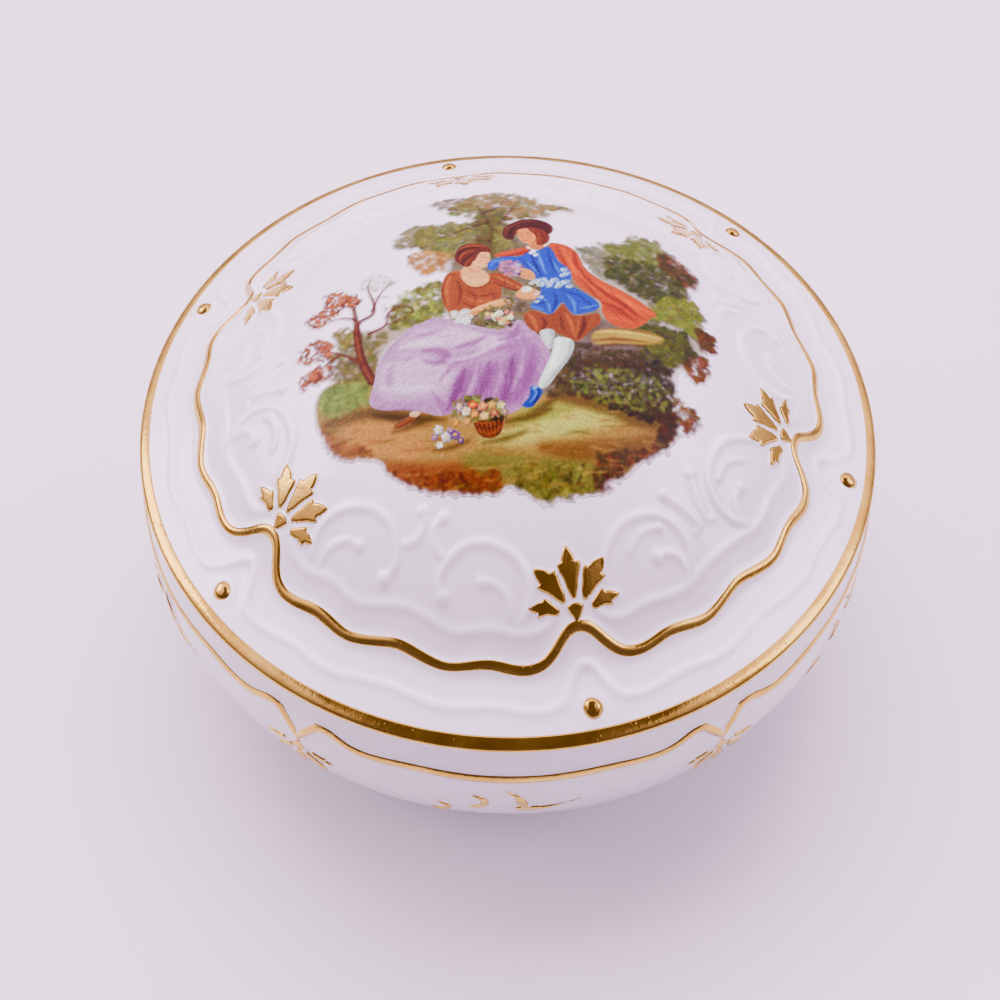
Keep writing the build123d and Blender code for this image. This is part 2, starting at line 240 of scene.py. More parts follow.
def lid_relief(x, y):
    """Cast relief above the plain dome, in mm."""
    x, y = np.asarray(x, float), np.asarray(y, float)
    r = np.hypot(x, y)
    turn = np.mod(np.arctan2(y, x) - TURN, 2 * math.pi)
    sixth = np.floor(turn / SIXTH).astype(int) % 6
    a = np.degrees(turn - sixth * SIXTH)
    out = np.zeros(r.shape)

    def line(centre, half, tall, slopes):
        d = (r - centre) * slopes
        return tall * np.exp(-(d / half) ** 2)

    for fn, base_r, half, tall in ((gold_wave, ROOT_R, 0.78, 0.50), (outer_wave, ROOT_R, 0.62, 0.30)):
        c = base_r + fn(a)
        k = (fn(a + 0.4) - fn(a - 0.4)) / (math.radians(0.8) * np.maximum(c, 1))
        t = tall * (1 + (0.5 * np.exp(-(np.minimum(a, 60 - a) / 4.0) ** 2) if fn is outer_wave else 0))
        out = np.maximum(out, line(c, half, t, 1 / np.sqrt(1 + k * k)))
    for kind in (0, 1):
        here = (sixth % 2 == kind) & (r > 29) & (r < 47)
        if not here.any():
            continue
        al, rl = a[here], r[here]
        c = inner_line[kind](al)
        k = (inner_line[kind](al + 0.4) - inner_line[kind](al - 0.4)) / (math.radians(0.8) * c)
        fade = ease(2.0, 4.0, al) * ease(2.0, 4.0, 60 - al)
        got = 0.30 * fade * np.exp(-((rl - c) / np.sqrt(1 + k * k) / 0.60) ** 2)
        px, py = flat(al, rl)
        for pts, half, tall, curl in SCROLLS[kind]:
            for side in (0, 1):
                here_pts = [flat(60 - p if side else p, q) for p, q in pts]
                got = np.maximum(got, stroke_height(px, py, here_pts, half, tall, curl))
        out[here] = np.maximum(out[here], got)
    # palmettes and the raised rings round the beads
    near = np.minimum(a, 60 - a) < 10
    off = np.where(a < 30, a, a - 60)
    if near.any():
        u, w = r[near] * np.sin(np.radians(off[near])), ROOT_R - r[near] * np.cos(np.radians(off[near]))
        out[near] = np.maximum(out[near], leaf_relief(u, w, LEAVES, 0.30))
        bead = np.hypot(u, w + BEAD_R - ROOT_R)
        out[near] += 0.16 * np.exp(-((bead - 1.6) / 0.45) ** 2)
    out += 0.035 * bumps(x, y, 0, 17.0, 3) + 0.012 * bumps(x, y, 0, 5.0, 4)
    return out * ease(0.0, 1.2, LID_R - 0.4 - r)


def lid_top(x, y):
    return EDGE + crown_line(np.hypot(x, y)) + lid_relief(x, y)


# ------------------------------------------------------------------ relief of the base
wall_line = curve_through([0.0, 1.8, 2.6, 4.9, 9.4, 14.8, 21.2, 28.0, 32.7, 36.4, 40.3, 41.0],
                          [38.0, 38.6, 42.6, 48.4, 54.3, 57.9, 59.8, 60.3, 59.6, 58.5, 56.9, 56.6])
base_line = curve_through([0, 2.9, 7.0, 15, 24, 30], [3.7, -0.40, 0.05, 0.35, 0.62, 0.70], (None, 0))


def kinked(deg):
    """Drop of the base's gold line below the rim, at degrees from the kink."""
    deg = np.abs(deg)
    return LINE_DROP + np.where(deg < 2.9, 3.7 - 4.1 * deg / 2.9, base_line(deg))


SPRAYS = [([(-0.8, -4.2), (0.9, -2.6), (1.7, -0.4), (2.2, 0.9)], [0.25, 0.9, 1.5, 0.9]),
          ([(0.6, 1.2), (2.6, 1.4), (5.0, 1.1), (9.8, -0.4)], [0.6, 1.5, 0.8, 0.25]),
          ([(-5.4, -2.6), (-3.9, -1.7), (-4.0, 0.5), (-5.8, 1.3)], [0.25, 1.0, 1.1, 0.3]),
          ([(-10.2, 1.0), (-8.8, 2.2), (-9.4, 4.0), (-11.4, 4.4)], [0.25, 0.9, 0.9, 0.3])]


def ribbon(pts, widths, n=16):
    """Outline of a tapered stroke, across and down."""
    line = np.array(pts, float)
    s = np.concatenate([[0], np.cumsum(np.hypot(*np.diff(line, axis=0).T))])
    t = np.linspace(0, s[-1], n)
    x, y = curve_through(s, line[:, 0])(t), curve_through(s, line[:, 1])(t)
    w = curve_through(s, widths)(t) / 2
    tx, ty = np.gradient(x), np.gradient(y)
    k = np.hypot(tx, ty)
    left = np.stack([x - ty / k * w, y + tx / k * w], 1)
    right = np.stack([x + ty / k * w, y - tx / k * w], 1)
    return np.concatenate([left, right[::-1]])


HANGING = palmette(8.4, 0.75)
SPRAY_SHAPES = [ribbon(p, w) for p, w in SPRAYS]


def base_relief(az, z):
    turn = np.mod(az - BASE_TURN + SIXTH / 2, 2 * math.pi)
    off = np.degrees(turn - np.floor(turn / SIXTH) * SIXTH) - 30
    drop = RIM - z
    out = 0.34 * np.exp(-((drop - kinked(off)) / 0.85) ** 2)
    u, w = BELLY_R * np.radians(off), drop - POINT - 0.9
    near = (np.abs(u) < 8) & (w > -2) & (w < 11)
    if near.any():
        out[near] = np.maximum(out[near], leaf_relief(u[near], w[near], HANGING, 0.28))
    off2 = np.where(off > 0, off - 30, off + 30)
    u2, w2 = BELLY_R * np.radians(off2), drop - SPRAY_DROP
    near = (np.abs(u2) < 16) & (np.abs(w2) < 8)
    if near.any():
        out[near] = np.maximum(out[near], leaf_relief(u2[near], w2[near], SPRAY_SHAPES, 0.34))
    out = out + 0.05 * bumps(np.cos(az) * 57, np.sin(az) * 57, z, 22.0, 5)
    return out * ease(0.2, 2.2, drop) * ease(2.0, 5.0, z)


# ------------------------------------------------------------------ mesh makers
def piece(name, points, faces, body, nodes, material, values=None):
    """One visible piece from points in mm. It rides on a body and stands for its CAD nodes."""
    mesh = bpy.data.meshes.new(name)
    mesh.from_pydata((np.asarray(points) * 0.001).tolist(), [], [list(f) for f in faces])
    mesh.validate()
    for key, data in (values or {}).items():
        kind = "FLOAT_COLOR" if data.ndim == 2 else "FLOAT"
        layer = mesh.attributes.new(key, kind, "POINT")
        layer.data.foreach_set("color" if data.ndim == 2 else "value",
                               np.ascontiguousarray(data, np.float32).ravel())
    mesh.polygons.foreach_set("use_smooth", np.ones(len(mesh.polygons), bool))
    mesh.update()
    obj = bpy.data.objects.new(name, mesh)
    bpy.context.scene.collection.objects.link(obj)
    mesh.materials.append(material)
    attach(obj, body)
    if nodes:
        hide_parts(*nodes)
    return obj


def ring_faces(rings, seg, start, end, first=0):
    """Faces between rings of points; start and end say whether a middle point closes each."""
    faces = []
    j = np.arange(seg)
    k = (j + 1) % seg
    for i in range(rings - 1):
        a, b = first + i * seg, first + (i + 1) * seg
        faces += np.stack([a + j, b + j, b + k, a + k], 1).tolist()
    last = first + rings * seg
    if start:
        faces += np.stack([np.full(seg, last), first + j, first + k], 1).tolist()
        last += 1
    if end:
        a = first + (rings - 1) * seg
        faces += np.stack([np.full(seg, last), a + k, a + j], 1).tolist()
    return faces


def tube_faces(rings, seg):
    """Faces of a closed ring-shaped body: the last ring of points joins the first."""
    first, last = np.arange(seg), (rings - 1) * seg + np.arange(seg)
    ends = np.stack([last, first, np.roll(first, -1), np.roll(last, -1)], 1)
    return ring_faces(rings, seg, False, False) + ends.tolist()


def thicken(obj, depth):
    """Gives a surface a closed body below itself."""
    mod = obj.modifiers.new("body", "SOLIDIFY")
    mod.thickness = depth * 0.001
    mod.offset = -1.0
    mod.use_even_offset = False
    bpy.context.view_layer.objects.active = obj
    dg = bpy.context.evaluated_depsgraph_get()
    new = bpy.data.meshes.new_from_object(obj.evaluated_get(dg))
    obj.modifiers.clear()
    obj.data = new
    return obj


def shaped_patches(cell, outlines, place, places, proud=0.06):
    """Small layers with the given outlines, laid on a surface at every place: points and faces."""
    low = np.min([o.min(0) for o in outlines], 0) - cell
    high = np.max([o.max(0) for o in outlines], 0) + cell
    xs, ys = np.arange(low[0], high[0] + cell, cell), np.arange(low[1], high[1] + cell, cell)
    gx, gy = np.meshgrid(xs, ys, indexing="ij")
    d = np.full(gx.shape, -9.0)
    for one in outlines:
        d = np.maximum(d, inside_by(gx, gy, one))
    # draw the points nearest the outline on to it
    for _ in range(3):
        sx, sy = np.gradient(d, cell)
        k = np.maximum(sx * sx + sy * sy, 0.3)
        near = np.abs(d) < cell * 0.75
        gx, gy = gx - np.where(near, d * sx / k, 0) * 0.9, gy - np.where(near, d * sy / k, 0) * 0.9
        d2 = np.full(gx.shape, -9.0)
        for one in outlines:
            d2 = np.maximum(d2, inside_by(gx, gy, one))
        d = np.where(near, np.where(np.abs(d2) < 0.02, 0, d2), d)
    ok = (d > -0.03)
    full = ok[:-1, :-1] & ok[1:, :-1] & ok[1:, 1:] & ok[:-1, 1:]
    mid = (d[:-1, :-1] + d[1:, :-1] + d[1:, 1:] + d[:-1, 1:]) > 0.01
    full &= mid
    n = gx.shape[1]
    i, j = np.nonzero(full)
    quads = np.stack([i * n + j, (i + 1) * n + j, (i + 1) * n + j + 1, i * n + j + 1], 1)
    used, inv = np.unique(quads, return_inverse=True)
    quads = inv.reshape(quads.shape)
    u, w, dd = gx.ravel()[used], gy.ravel()[used], d.ravel()[used]
    lift = 0.015 + proud * np.sqrt(np.clip(dd / 0.3, 0, 1))
    points, faces = [], []
    for one in places:
        faces.append(quads + sum(len(p) for p in points))
        points.append(place(u, w, lift, one))
    return np.concatenate(points), np.concatenate(faces)


# ------------------------------------------------------------------ the printed scene
def spots(text):
    """Places on the picture in mm from the crown, x to the right and y to the back, written "x,y x,y"."""
    if not isinstance(text, str):
        return text
    return np.array([p.split(",") for p in text.split()], float)


def eased(points):
    """Closed outline with its corners rounded off."""
    for _ in range(2):
        q = np.roll(points, -1, axis=0)
        points = np.stack([points * 0.75 + q * 0.25, points * 0.25 + q * 0.75], 1).reshape(-1, 2)
    return points


class Picture:
    """A painter's board over the crown: colour and cover on a fine square grid."""

    def __init__(self, step=0.09, reach=34.0, seed=1):
        self.step, self.reach = step, reach
        n = int(2 * reach / step) + 1
        self.colour = np.full((n, n, 3), 0.8)
        self.cover = np.zeros((n, n))
        self.rng = np.random.default_rng(seed)

    def window(self, low, high):
        i0, j0 = np.maximum(0, ((np.array(low) + self.reach) / self.step).astype(int))
        i1, j1 = np.minimum(len(self.cover), ((np.array(high) + self.reach) / self.step).astype(int) + 2)
        x, y = np.meshgrid(np.arange(i0, i1) * self.step - self.reach,
                           np.arange(j0, j1) * self.step - self.reach,
                           indexing="ij")
        return (slice(i0, i1), slice(j0, j1)), x, y

    def lay(self, at, mask, colour, new=True):
        """Puts colour down where the mask says; new=False only tints what is already there."""
        if not new:
            mask = mask * self.cover[at]
        m = mask[..., None]
        self.colour[at] = self.colour[at] * (1 - m) + np.asarray(colour, float) / 255 * m
        if new:
            self.cover[at] = 1 - (1 - self.cover[at]) * (1 - mask)

    def fill(self, outline, colour, edge=0.25, strength=1.0, new=True):
        """A flat wash inside an outline, soft over its edge."""
        line = eased(spots(outline))
        at, x, y = self.window(line.min(0) - edge - 0.1, line.max(0) + edge + 0.1)
        d = inside_by(x, y, line)
        self.lay(at, strength * ease(-edge, edge, d), colour, new)

    def stroke(self, points, wide, colour, strength=1.0, edge=0.12, new=False, steps=5):
        """One brush stroke; wide is its width at the start, the middle and the end."""
        points = spots(points)
        s = np.linspace(0, 1, len(points))
        t = np.linspace(0, 1, steps * (len(points) - 1) + 1)
        if len(points) > 2:
            cx, cy = curve_through(s, points[:, 0])(t), curve_through(s, points[:, 1])(t)
        else:
            cx, cy = np.interp(t, s, points[:, 0]), np.interp(t, s, points[:, 1])
        half = np.interp(t, [0, 0.5, 1], np.array(wide) / 2)
        pad = half.max() + edge + 0.1
        at, x, y = self.window((cx.min() - pad, cy.min() - pad), (cx.max() + pad, cy.max() + pad))
        best = np.full(x.shape, 9.0)
        for i in range(len(t) - 1):
            dx, dy = cx[i + 1] - cx[i], cy[i + 1] - cy[i]
            k = np.clip(((x - cx[i]) * dx + (y - cy[i]) * dy) / (dx * dx + dy * dy + 1e-9), 0, 1)
            d = np.hypot(x - cx[i] - k * dx, y - cy[i] - k * dy) - half[i] - k * (half[i + 1] - half[i])
            best = np.minimum(best, d)
        self.lay(at, strength * ease(edge, -edge, best), colour, new)

    def dab(self, x0, y0, size, turn, flat, colour, strength=1.0, edge=0.35, new=True):
        at, x, y = self.window((x0 - size, y0 - size), (x0 + size, y0 + size))
        c, s = math.cos(turn), math.sin(turn)
        u, v = ((x - x0) * c + (y - y0) * s) / size, ((y - y0) * c - (x - x0) * s) / size / flat
        self.lay(at, strength * ease(1.0, 1.0 - edge, np.hypot(u, v)), colour, new)

    def leaves(self, outline, count, size, colours, new=True, flat=0.6, strength=0.8, edge=0.5):
        """Many small leaf touches inside an outline, the later colours on top and to the upper left."""
        outline = spots(outline)
        low, high = outline.min(0), outline.max(0)
        n = len(colours)
        got = []
        while len(got) < count:
            p = self.rng.uniform(low, high, (count * 2, 2))
            ok = inside_by(p[:, 0], p[:, 1], outline) > 0
            got += [tuple(q) for q in p[ok]]
        got = got[:count]
        for i, (x0, y0) in enumerate(got):
            k = min(n - 1, int(i * n / count))
            c = np.array(colours[k]) * self.rng.uniform(0.88, 1.12) + self.rng.normal(0, 5, 3)
            shift = size * 0.5 * k / n
            turn = self.rng.uniform(0, math.pi)
            self.dab(x0 - shift, y0 + shift, size * self.rng.uniform(0.55, 1.25), turn, flat,
                     np.clip(c, 0, 255),
                     strength * self.rng.uniform(0.6, 1.0), edge, new)

    def blossom(self, x0, y0, size, colour, heart=(235, 200, 90)):
        """A little round flower: petals, a shade below and a heart."""
        c = np.array(colour, float)
        self.dab(x0 + size * 0.15, y0 - size * 0.2, size, 0, 1, c * 0.62, 0.8)
        for k in range(5):
            a = k * 1.257 + x0
            self.dab(x0 + size * 0.45 * math.cos(a), y0 + size * 0.45 * math.sin(a), size * 0.55, a, 0.8,
                     np.clip(c * self.rng.uniform(0.9, 1.12), 0, 255), 0.9)
        self.dab(x0, y0, size * 0.32, 0, 1, heart, 0.9)


def paint_far_trees(land):
    """Far trees."""
    land.fill("-5.9,29.5 -0.8,31.0 3.6,30.3 6.0,28.2 9.0,27.8 8.3,25.9 4.9,25.5 3.6,23.5 0.7,22.3 "
              "-0.8,20.1 -0.2,16.3 -1.9,12.1 -5.3,10.4 -8.7,10.4 -11.2,12.1 -12.5,14.2 -14.2,15.5 "
              "-15.5,17.2 -14.6,20.1 -11.2,20.1 -8.7,20.1 -5.3,20.1 -4.7,23.1 -6.1,25.2 -8.7,27.4",
              (168, 152, 108), 1.2, 0.75)
    for area, count, size, tones, strength in (
            ("-12.5,29.1 -9.5,30.6 -5.3,30.3 -5.3,26.1 -8.7,26.1 -11.2,26.3", 160, 0.95,
             [(168, 150, 140), (150, 128, 115), (140, 122, 98)], 0.6),
            ("-6.1,30.8 -2.7,32.3 1.1,32.0 4.9,29.9 4.1,27.8 10.0,28.6 10.4,26.3 5.8,25.7 7.0,24.2 "
             "3.2,22.7 -0.2,21.8 -1.9,18.9 -4.9,20.1 -3.6,23.1 -6.1,25.7 -8.7,24.0 -9.5,25.7", 620, 1.0,
             [(128, 108, 66), (142, 122, 70), (158, 138, 82), (128, 126, 70), (166, 128, 78)], 0.62),
            ("-9.5,26.5 -6.1,28.6 -3.6,25.7 -2.7,21.4 -5.3,20.1 -6.6,24.0 -9.3,23.8", 160, 0.85,
             [(130, 138, 88), (150, 156, 100), (128, 112, 70)], 0.6),
            ("-17.6,17.2 -16.3,20.6 -14.2,21.8 -11.7,21.4 -11.7,17.2 -14.6,15.5 -17.6,15.9", 240, 0.95,
             [(140, 120, 110), (128, 118, 92), (155, 142, 118)], 0.6),
            ("-14.2,20.1 -8.7,21.8 -3.6,21.4 -1.0,18.0 -1.5,13.8 -5.3,15.0 -8.7,11.2 -10.4,12.9 -13.8,14.2",
             520, 1.0, [(96, 96, 54), (118, 116, 62), (136, 132, 76), (150, 140, 84)], 0.65),
            ("-15.5,13.3 -12.5,14.2 -8.7,12.9 -9.5,9.1 -12.5,8.7 -14.2,10.4", 190, 0.9,
             [(190, 138, 92), (206, 160, 112), (176, 132, 84)], 0.6),
            ("-4.0,26.9 -0.2,25.7 0.2,20.1 -1.0,14.2 -2.7,12.1 -4.9,15.9 -5.3,21.4", 280, 0.95,
             [(112, 92, 58), (136, 116, 70), (122, 120, 70)], 0.6)):
        land.leaves(area, count, size, tones, strength=strength)
    for line in ("-2.1,10.4 -2.7,14.6 -2.2,18.0 -3.2,21.4 -4.1,24.4 -5.3,27.4",
                 "-2.7,18.0 -1.2,21.4 0.2,25.2 1.5,28.6", "-3.2,21.4 -6.1,20.1 -8.7,18.4 -11.2,17.2",
                 "-4.1,24.4 -1.9,26.9 -0.2,29.9"):
        land.stroke(line, (0.75, 0.5, 0.2), (98, 70, 48), 0.55, 0.3)
    land.fill("-8.7,12.9 -2.7,18.9 -0.2,21.4 1.5,21.4 5.8,16.3 10.4,10.4 13.8,4.4 13.4,-2.4 8.3,-4.1 "
              "5.8,-8.4 8.3,-10.9 7.9,-13.9 4.1,-16.0 -2.7,-12.6 -7.0,-4.1 -9.5,0.2 -9.5,7.0",
              (128, 110, 68), 0.9, 0.95)
    for area, count, size, tones, strength in (
            ("-5.3,16.3 -1.9,18.0 1.5,16.3 4.1,10.4 5.8,4.4 4.1,-4.1 -0.2,-3.2 -6.1,-2.4 -8.7,4.4 "
             "-2.7,7.8 -2.7,12.1", 420, 0.9, [(96, 78, 44), (120, 104, 58), (134, 118, 74)], 0.6),
            ("-1.9,20.1 1.1,20.1 1.5,15.9 -1.0,12.9 -2.7,15.5", 90, 0.8, [(130, 124, 72), (150, 142, 92)],
             0.6)):
        land.leaves(area, count, size, tones, strength=strength)


def paint_bush_on_the_right(land):
    """Bush on the right."""
    land.fill("10.9,14.2 13.8,16.3 15.5,18.0 18.5,18.4 19.8,20.6 23.2,21.0 26.2,18.4 28.7,15.0 29.1,12.1 "
              "27.0,9.9 28.3,7.0 28.7,3.6 29.6,0.2 28.7,-3.2 27.0,-5.8 24.5,-5.4 23.6,-10.9 23.2,-16.9 "
              "10.0,-16.0 7.0,-12.6 8.3,-6.6 12.6,0.2 13.4,7.0", (142, 128, 78), 1.1, 0.8)
    for area, count, size, tones, strength in (
            ("10.4,15.0 13.4,16.3 15.5,13.8 16.0,8.7 13.8,8.7 11.7,11.2", 230, 0.95,
             [(150, 138, 136), (170, 160, 152), (140, 134, 118)], 0.55),
            ("13.8,17.2 17.7,18.0 19.4,21.4 24.0,21.4 25.3,18.0 24.0,14.2 19.8,12.9 15.1,13.8", 420, 1.0,
             [(112, 118, 70), (140, 140, 84), (160, 152, 100), (126, 130, 74)], 0.6),
            ("23.6,17.2 26.2,18.4 28.3,15.9 29.8,13.8 29.1,11.2 26.6,10.4 24.0,12.9", 280, 0.9,
             [(120, 72, 42), (158, 92, 52), (140, 96, 56), (104, 88, 48)], 0.7),
            ("15.5,13.8 22.8,14.2 27.0,11.2 27.9,7.0 22.8,4.4 17.7,7.0 14.7,9.5", 560, 0.95,
             [(74, 70, 40), (98, 92, 50), (122, 114, 64), (96, 100, 52)], 0.65),
            ("24.5,7.0 28.3,7.8 29.8,4.8 28.7,1.9 31.3,1.0 30.4,-2.0 27.0,0.2 24.0,1.9 20.6,1.0 21.5,4.8",
             480, 0.9, [(78, 76, 38), (124, 126, 56), (156, 158, 78), (142, 138, 66)], 0.7),
            ("28.3,1.9 31.3,1.4 30.9,-2.0 28.7,-2.8", 90, 0.8,
             [(112, 56, 30), (146, 78, 44), (126, 92, 48)], 0.8),
            ("26.2,-3.2 29.6,-3.7 29.4,-7.1 27.4,-8.4 25.3,-6.6", 130, 0.85,
             [(120, 60, 30), (160, 88, 46), (140, 98, 52)], 0.8)):
        land.leaves(area, count, size, tones, strength=strength)
    land.fill("10.0,-1.1 13.4,0.6 17.7,0.2 22.8,0.6 26.2,-0.7 27.0,-4.1 24.5,-6.6 22.8,-8.8 17.7,-8.4 "
              "12.1,-9.2 8.3,-10.1 7.5,-6.6", (106, 78, 44), 0.9, 0.75)
    land.leaves("19.4,1.0 26.2,0.2 27.9,-3.2 24.5,-6.6 19.8,-6.6 18.1,-2.4", 420, 0.85,
                [(66, 60, 32), (96, 92, 44), (132, 134, 66), (112, 106, 52)], strength=0.75)


def paint_ground(land):
    """Ground."""
    ground = spots("-27.6,-13.0 -26.5,-10.5 -22.7,-9.6 -18.5,-10.1 -7.0,-15.2 2.8,-14.7 8.3,-12.6 "
                   "14.3,-13.5 20.6,-13.0 24.0,-13.5 23.8,-16.4 23.2,-19.0 20.2,-21.1 17.7,-22.8 "
                   "16.4,-24.7 13.6,-25.4 12.6,-27.5 8.3,-28.1 6.8,-28.5 4.5,-29.4 2.4,-27.9 0.0,-27.1 "
                   "-0.8,-28.3 -3.2,-28.4 -6.1,-28.2 -9.5,-28.1 -12.1,-27.5 -14.2,-26.4 -16.6,-24.9 "
                   "-17.2,-23.2 -19.7,-22.6 -22.7,-22.2 -24.4,-20.9 -25.7,-18.6 -27.0,-16.9")
    land.fill(ground, (186, 148, 100), 0.45, 1.0)
    for area, colour, edge, strength in (
            ("-27.2,-13.5 -26.1,-10.5 -21.9,-10.1 -18.9,-11.3 -19.7,-14.3 -23.1,-15.2 -26.1,-15.6",
             (150, 160, 96), 0.9, 0.9),
            ("-26.5,-16.0 -19.7,-14.7 -14.6,-16.0 -9.5,-17.3 -11.2,-18.1 -16.3,-17.5 -21.4,-16.9 "
             "-25.7,-18.1", (120, 92, 52), 0.9, 0.75),
            ("-23.6,-17.3 -18.5,-16.9 -13.4,-18.6 -10.4,-21.1 -12.1,-24.1 -16.3,-22.8 -21.4,-22.0",
             (206, 152, 106), 1.2, 0.8),
            ("-5.3,-21.1 1.5,-18.6 8.3,-15.6 13.8,-14.7 17.7,-16.0 12.1,-18.6 5.8,-20.7 -0.2,-22.0",
             (206, 200, 132), 1.1, 0.85),
            ("1.5,-16.0 7.0,-14.7 10.4,-14.3 8.3,-16.9 3.6,-18.1 -0.2,-19.0", (176, 178, 100), 0.9, 0.7),
            ("-17.2,-23.2 -10.4,-24.1 -2.7,-23.7 -0.2,-25.4 -1.0,-28.1 -7.0,-28.0 -12.5,-27.1 -15.9,-24.9",
             (160, 96, 60), 0.9, 0.8),
            ("-7.0,-22.8 -0.2,-22.4 5.8,-23.2 12.1,-22.4 12.6,-27.1 7.0,-28.1 4.1,-28.8 0.2,-26.6 "
             "-5.3,-25.4", (146, 138, 82), 1.0, 0.8),
            ("3.2,-21.1 10.0,-20.7 17.7,-19.0 23.2,-16.4 22.8,-19.4 17.7,-22.4 12.6,-23.2 5.8,-23.2",
             (146, 104, 66), 0.9, 0.75),
            ("13.8,-21.1 18.5,-20.3 17.7,-22.8 15.1,-24.9 12.6,-27.1 10.9,-25.4", (122, 92, 82), 0.8, 0.7),
            ("7.0,-11.8 14.3,-13.9 23.6,-14.3 23.6,-16.9 18.5,-17.7 10.9,-15.6 5.8,-14.7", (118, 88, 50),
             0.8, 0.7)):
        land.fill(area, colour, edge, strength, new=False)
    land.leaves("-27.4,-13.0 -26.1,-10.5 -19.7,-10.1 -19.3,-14.7 -24.8,-16.0", 200, 0.7,
                [(118, 132, 70), (168, 178, 116), (140, 148, 84)], False, strength=0.5)
    for area, count, size, tones, strength in (
            ("-16.3,-24.5 -10.4,-25.4 -1.0,-25.4 -0.6,-28.5 -8.7,-28.5 -14.2,-26.6", 240, 0.7,
             [(122, 62, 34), (166, 96, 58), (142, 84, 50)], 0.6),
            ("0.7,-24.5 5.8,-23.7 12.6,-24.1 13.0,-27.1 8.3,-28.5 4.9,-29.6 1.5,-27.9", 260, 0.75,
             [(96, 84, 42), (138, 130, 66), (156, 142, 82)], 0.65),
            ("12.6,-22.4 18.5,-20.7 23.6,-17.3 22.8,-19.8 17.2,-23.2 13.4,-27.1 11.7,-26.2", 180, 0.7,
             [(118, 62, 42), (140, 92, 66), (104, 82, 58)], 0.65),
            ("-26.1,-17.3 -22.7,-19.4 -17.2,-22.8 -22.7,-22.6 -24.8,-20.7", 120, 0.7,
             [(146, 88, 52), (172, 118, 76)], 0.55)):
        land.leaves(area, count, size, tones, strength=strength)
    rng = np.random.default_rng(21)
    for _ in range(260):
        x, y = rng.uniform(-28, 22), rng.uniform(-29, -16)
        tone = [(150, 96, 58), (214, 176, 124), (128, 118, 66), (196, 134, 88)][rng.integers(4)]
        land.stroke(np.array([(x, y), (x + rng.uniform(1, 3.5), y + rng.normal(0.15, 0.35))]),
                    (0.1, 0.35, 0.1), tone, 0.35, 0.2)


def paint_hedge_behind_the_legs(land):
    """Hedge behind the legs."""
    land.leaves("8.3,-8.4 12.6,-7.5 18.5,-6.6 24.0,-7.1 23.6,-11.8 24.0,-15.6 18.5,-16.4 12.1,-14.3 "
                "7.0,-12.6", 800, 0.72, [(70, 50, 30), (88, 64, 36), (96, 84, 42)], strength=0.8)
    land.leaves("7.5,-10.5 12.6,-8.4 20.6,-8.4 23.2,-10.9 22.3,-14.7 16.4,-15.2 10.0,-13.9", 330, 0.58,
                [(98, 96, 50), (128, 128, 70), (146, 146, 86)], strength=0.75, edge=0.5)
    for area, count, size, tones, strength in (
            ("8.7,-4.1 14.3,-5.4 19.4,-4.9 20.2,-7.5 14.3,-8.8 8.3,-8.4", 260, 0.65,
             [(92, 66, 36), (112, 84, 44), (100, 88, 46)], 0.7),
            ("4.9,-8.8 8.3,-8.8 9.2,-13.5 5.8,-14.3", 110, 0.7, [(104, 78, 44), (120, 100, 56)], 0.7),
            ("23.6,-11.8 25.3,-11.8 27.4,-13.9 27.0,-16.0 24.9,-16.9 23.6,-14.7", 110, 0.75,
             [(98, 62, 32), (140, 118, 60), (150, 92, 50)], 0.8),
            ("21.1,-14.7 24.0,-14.7 24.0,-18.1 21.1,-19.0", 90, 0.7, [(116, 62, 34), (96, 70, 40)], 0.7)):
        land.leaves(area, count, size, tones, strength=strength)


def paint_log(land):
    """Log."""
    land.fill("11.7,-2.4 16.0,-0.9 21.5,-0.9 23.2,-2.0 20.2,-3.5 16.8,-4.3 12.1,-5.2", (190, 158, 88), 0.4,
              0.95)
    for line, tone in (("12.1,-4.1 16.0,-3.2 19.8,-3.0", (136, 92, 46)),
                       ("12.6,-2.4 16.8,-1.8 22.3,-1.8", (222, 200, 130)),
                       ("11.7,-5.2 15.1,-4.5 19.8,-3.7", (104, 66, 34)),
                       ("14.3,-1.5 17.7,-1.1 21.1,-1.3", (150, 108, 58)),
                       ("15.5,-2.8 18.5,-2.5 21.5,-2.4", (206, 178, 106))):
        land.stroke(line, (0.2, 0.7, 0.2), tone, 0.75, 0.25)


def paint_bushes_and_ochre_ground_behind_the_skirt(land):
    """Bushes and ochre ground behind the skirt, left."""
    land.fill("-25.3,-4.1 -22.7,-2.0 -18.5,-1.5 -14.6,0.2 -10.4,2.7 -8.7,0.2 -14.2,-3.2 -17.6,-5.8 "
              "-18.5,-10.9 -21.9,-10.9 -24.8,-8.8", (160, 138, 84), 0.9, 0.85)
    for area, count, size, tones, strength in (
            ("-15.9,4.4 -12.9,5.7 -10.0,7.0 -8.7,3.6 -9.5,-0.7 -13.4,-2.0 -16.8,-2.8 -17.2,0.6", 420, 0.9,
             [(112, 116, 52), (146, 150, 66), (176, 178, 88), (130, 126, 58)], 0.65),
            ("-25.7,-3.2 -21.4,-2.0 -17.2,-2.8 -18.5,-6.6 -18.9,-10.5 -24.0,-10.5 -26.1,-9.2", 330, 0.8,
             [(112, 92, 44), (150, 122, 66), (134, 130, 66)], 0.6),
            ("-26.1,-1.1 -23.6,-0.3 -21.4,-2.4 -24.0,-4.1", 90, 0.75, [(170, 160, 96), (146, 128, 76)],
             0.55)):
        land.leaves(area, count, size, tones, strength=strength)


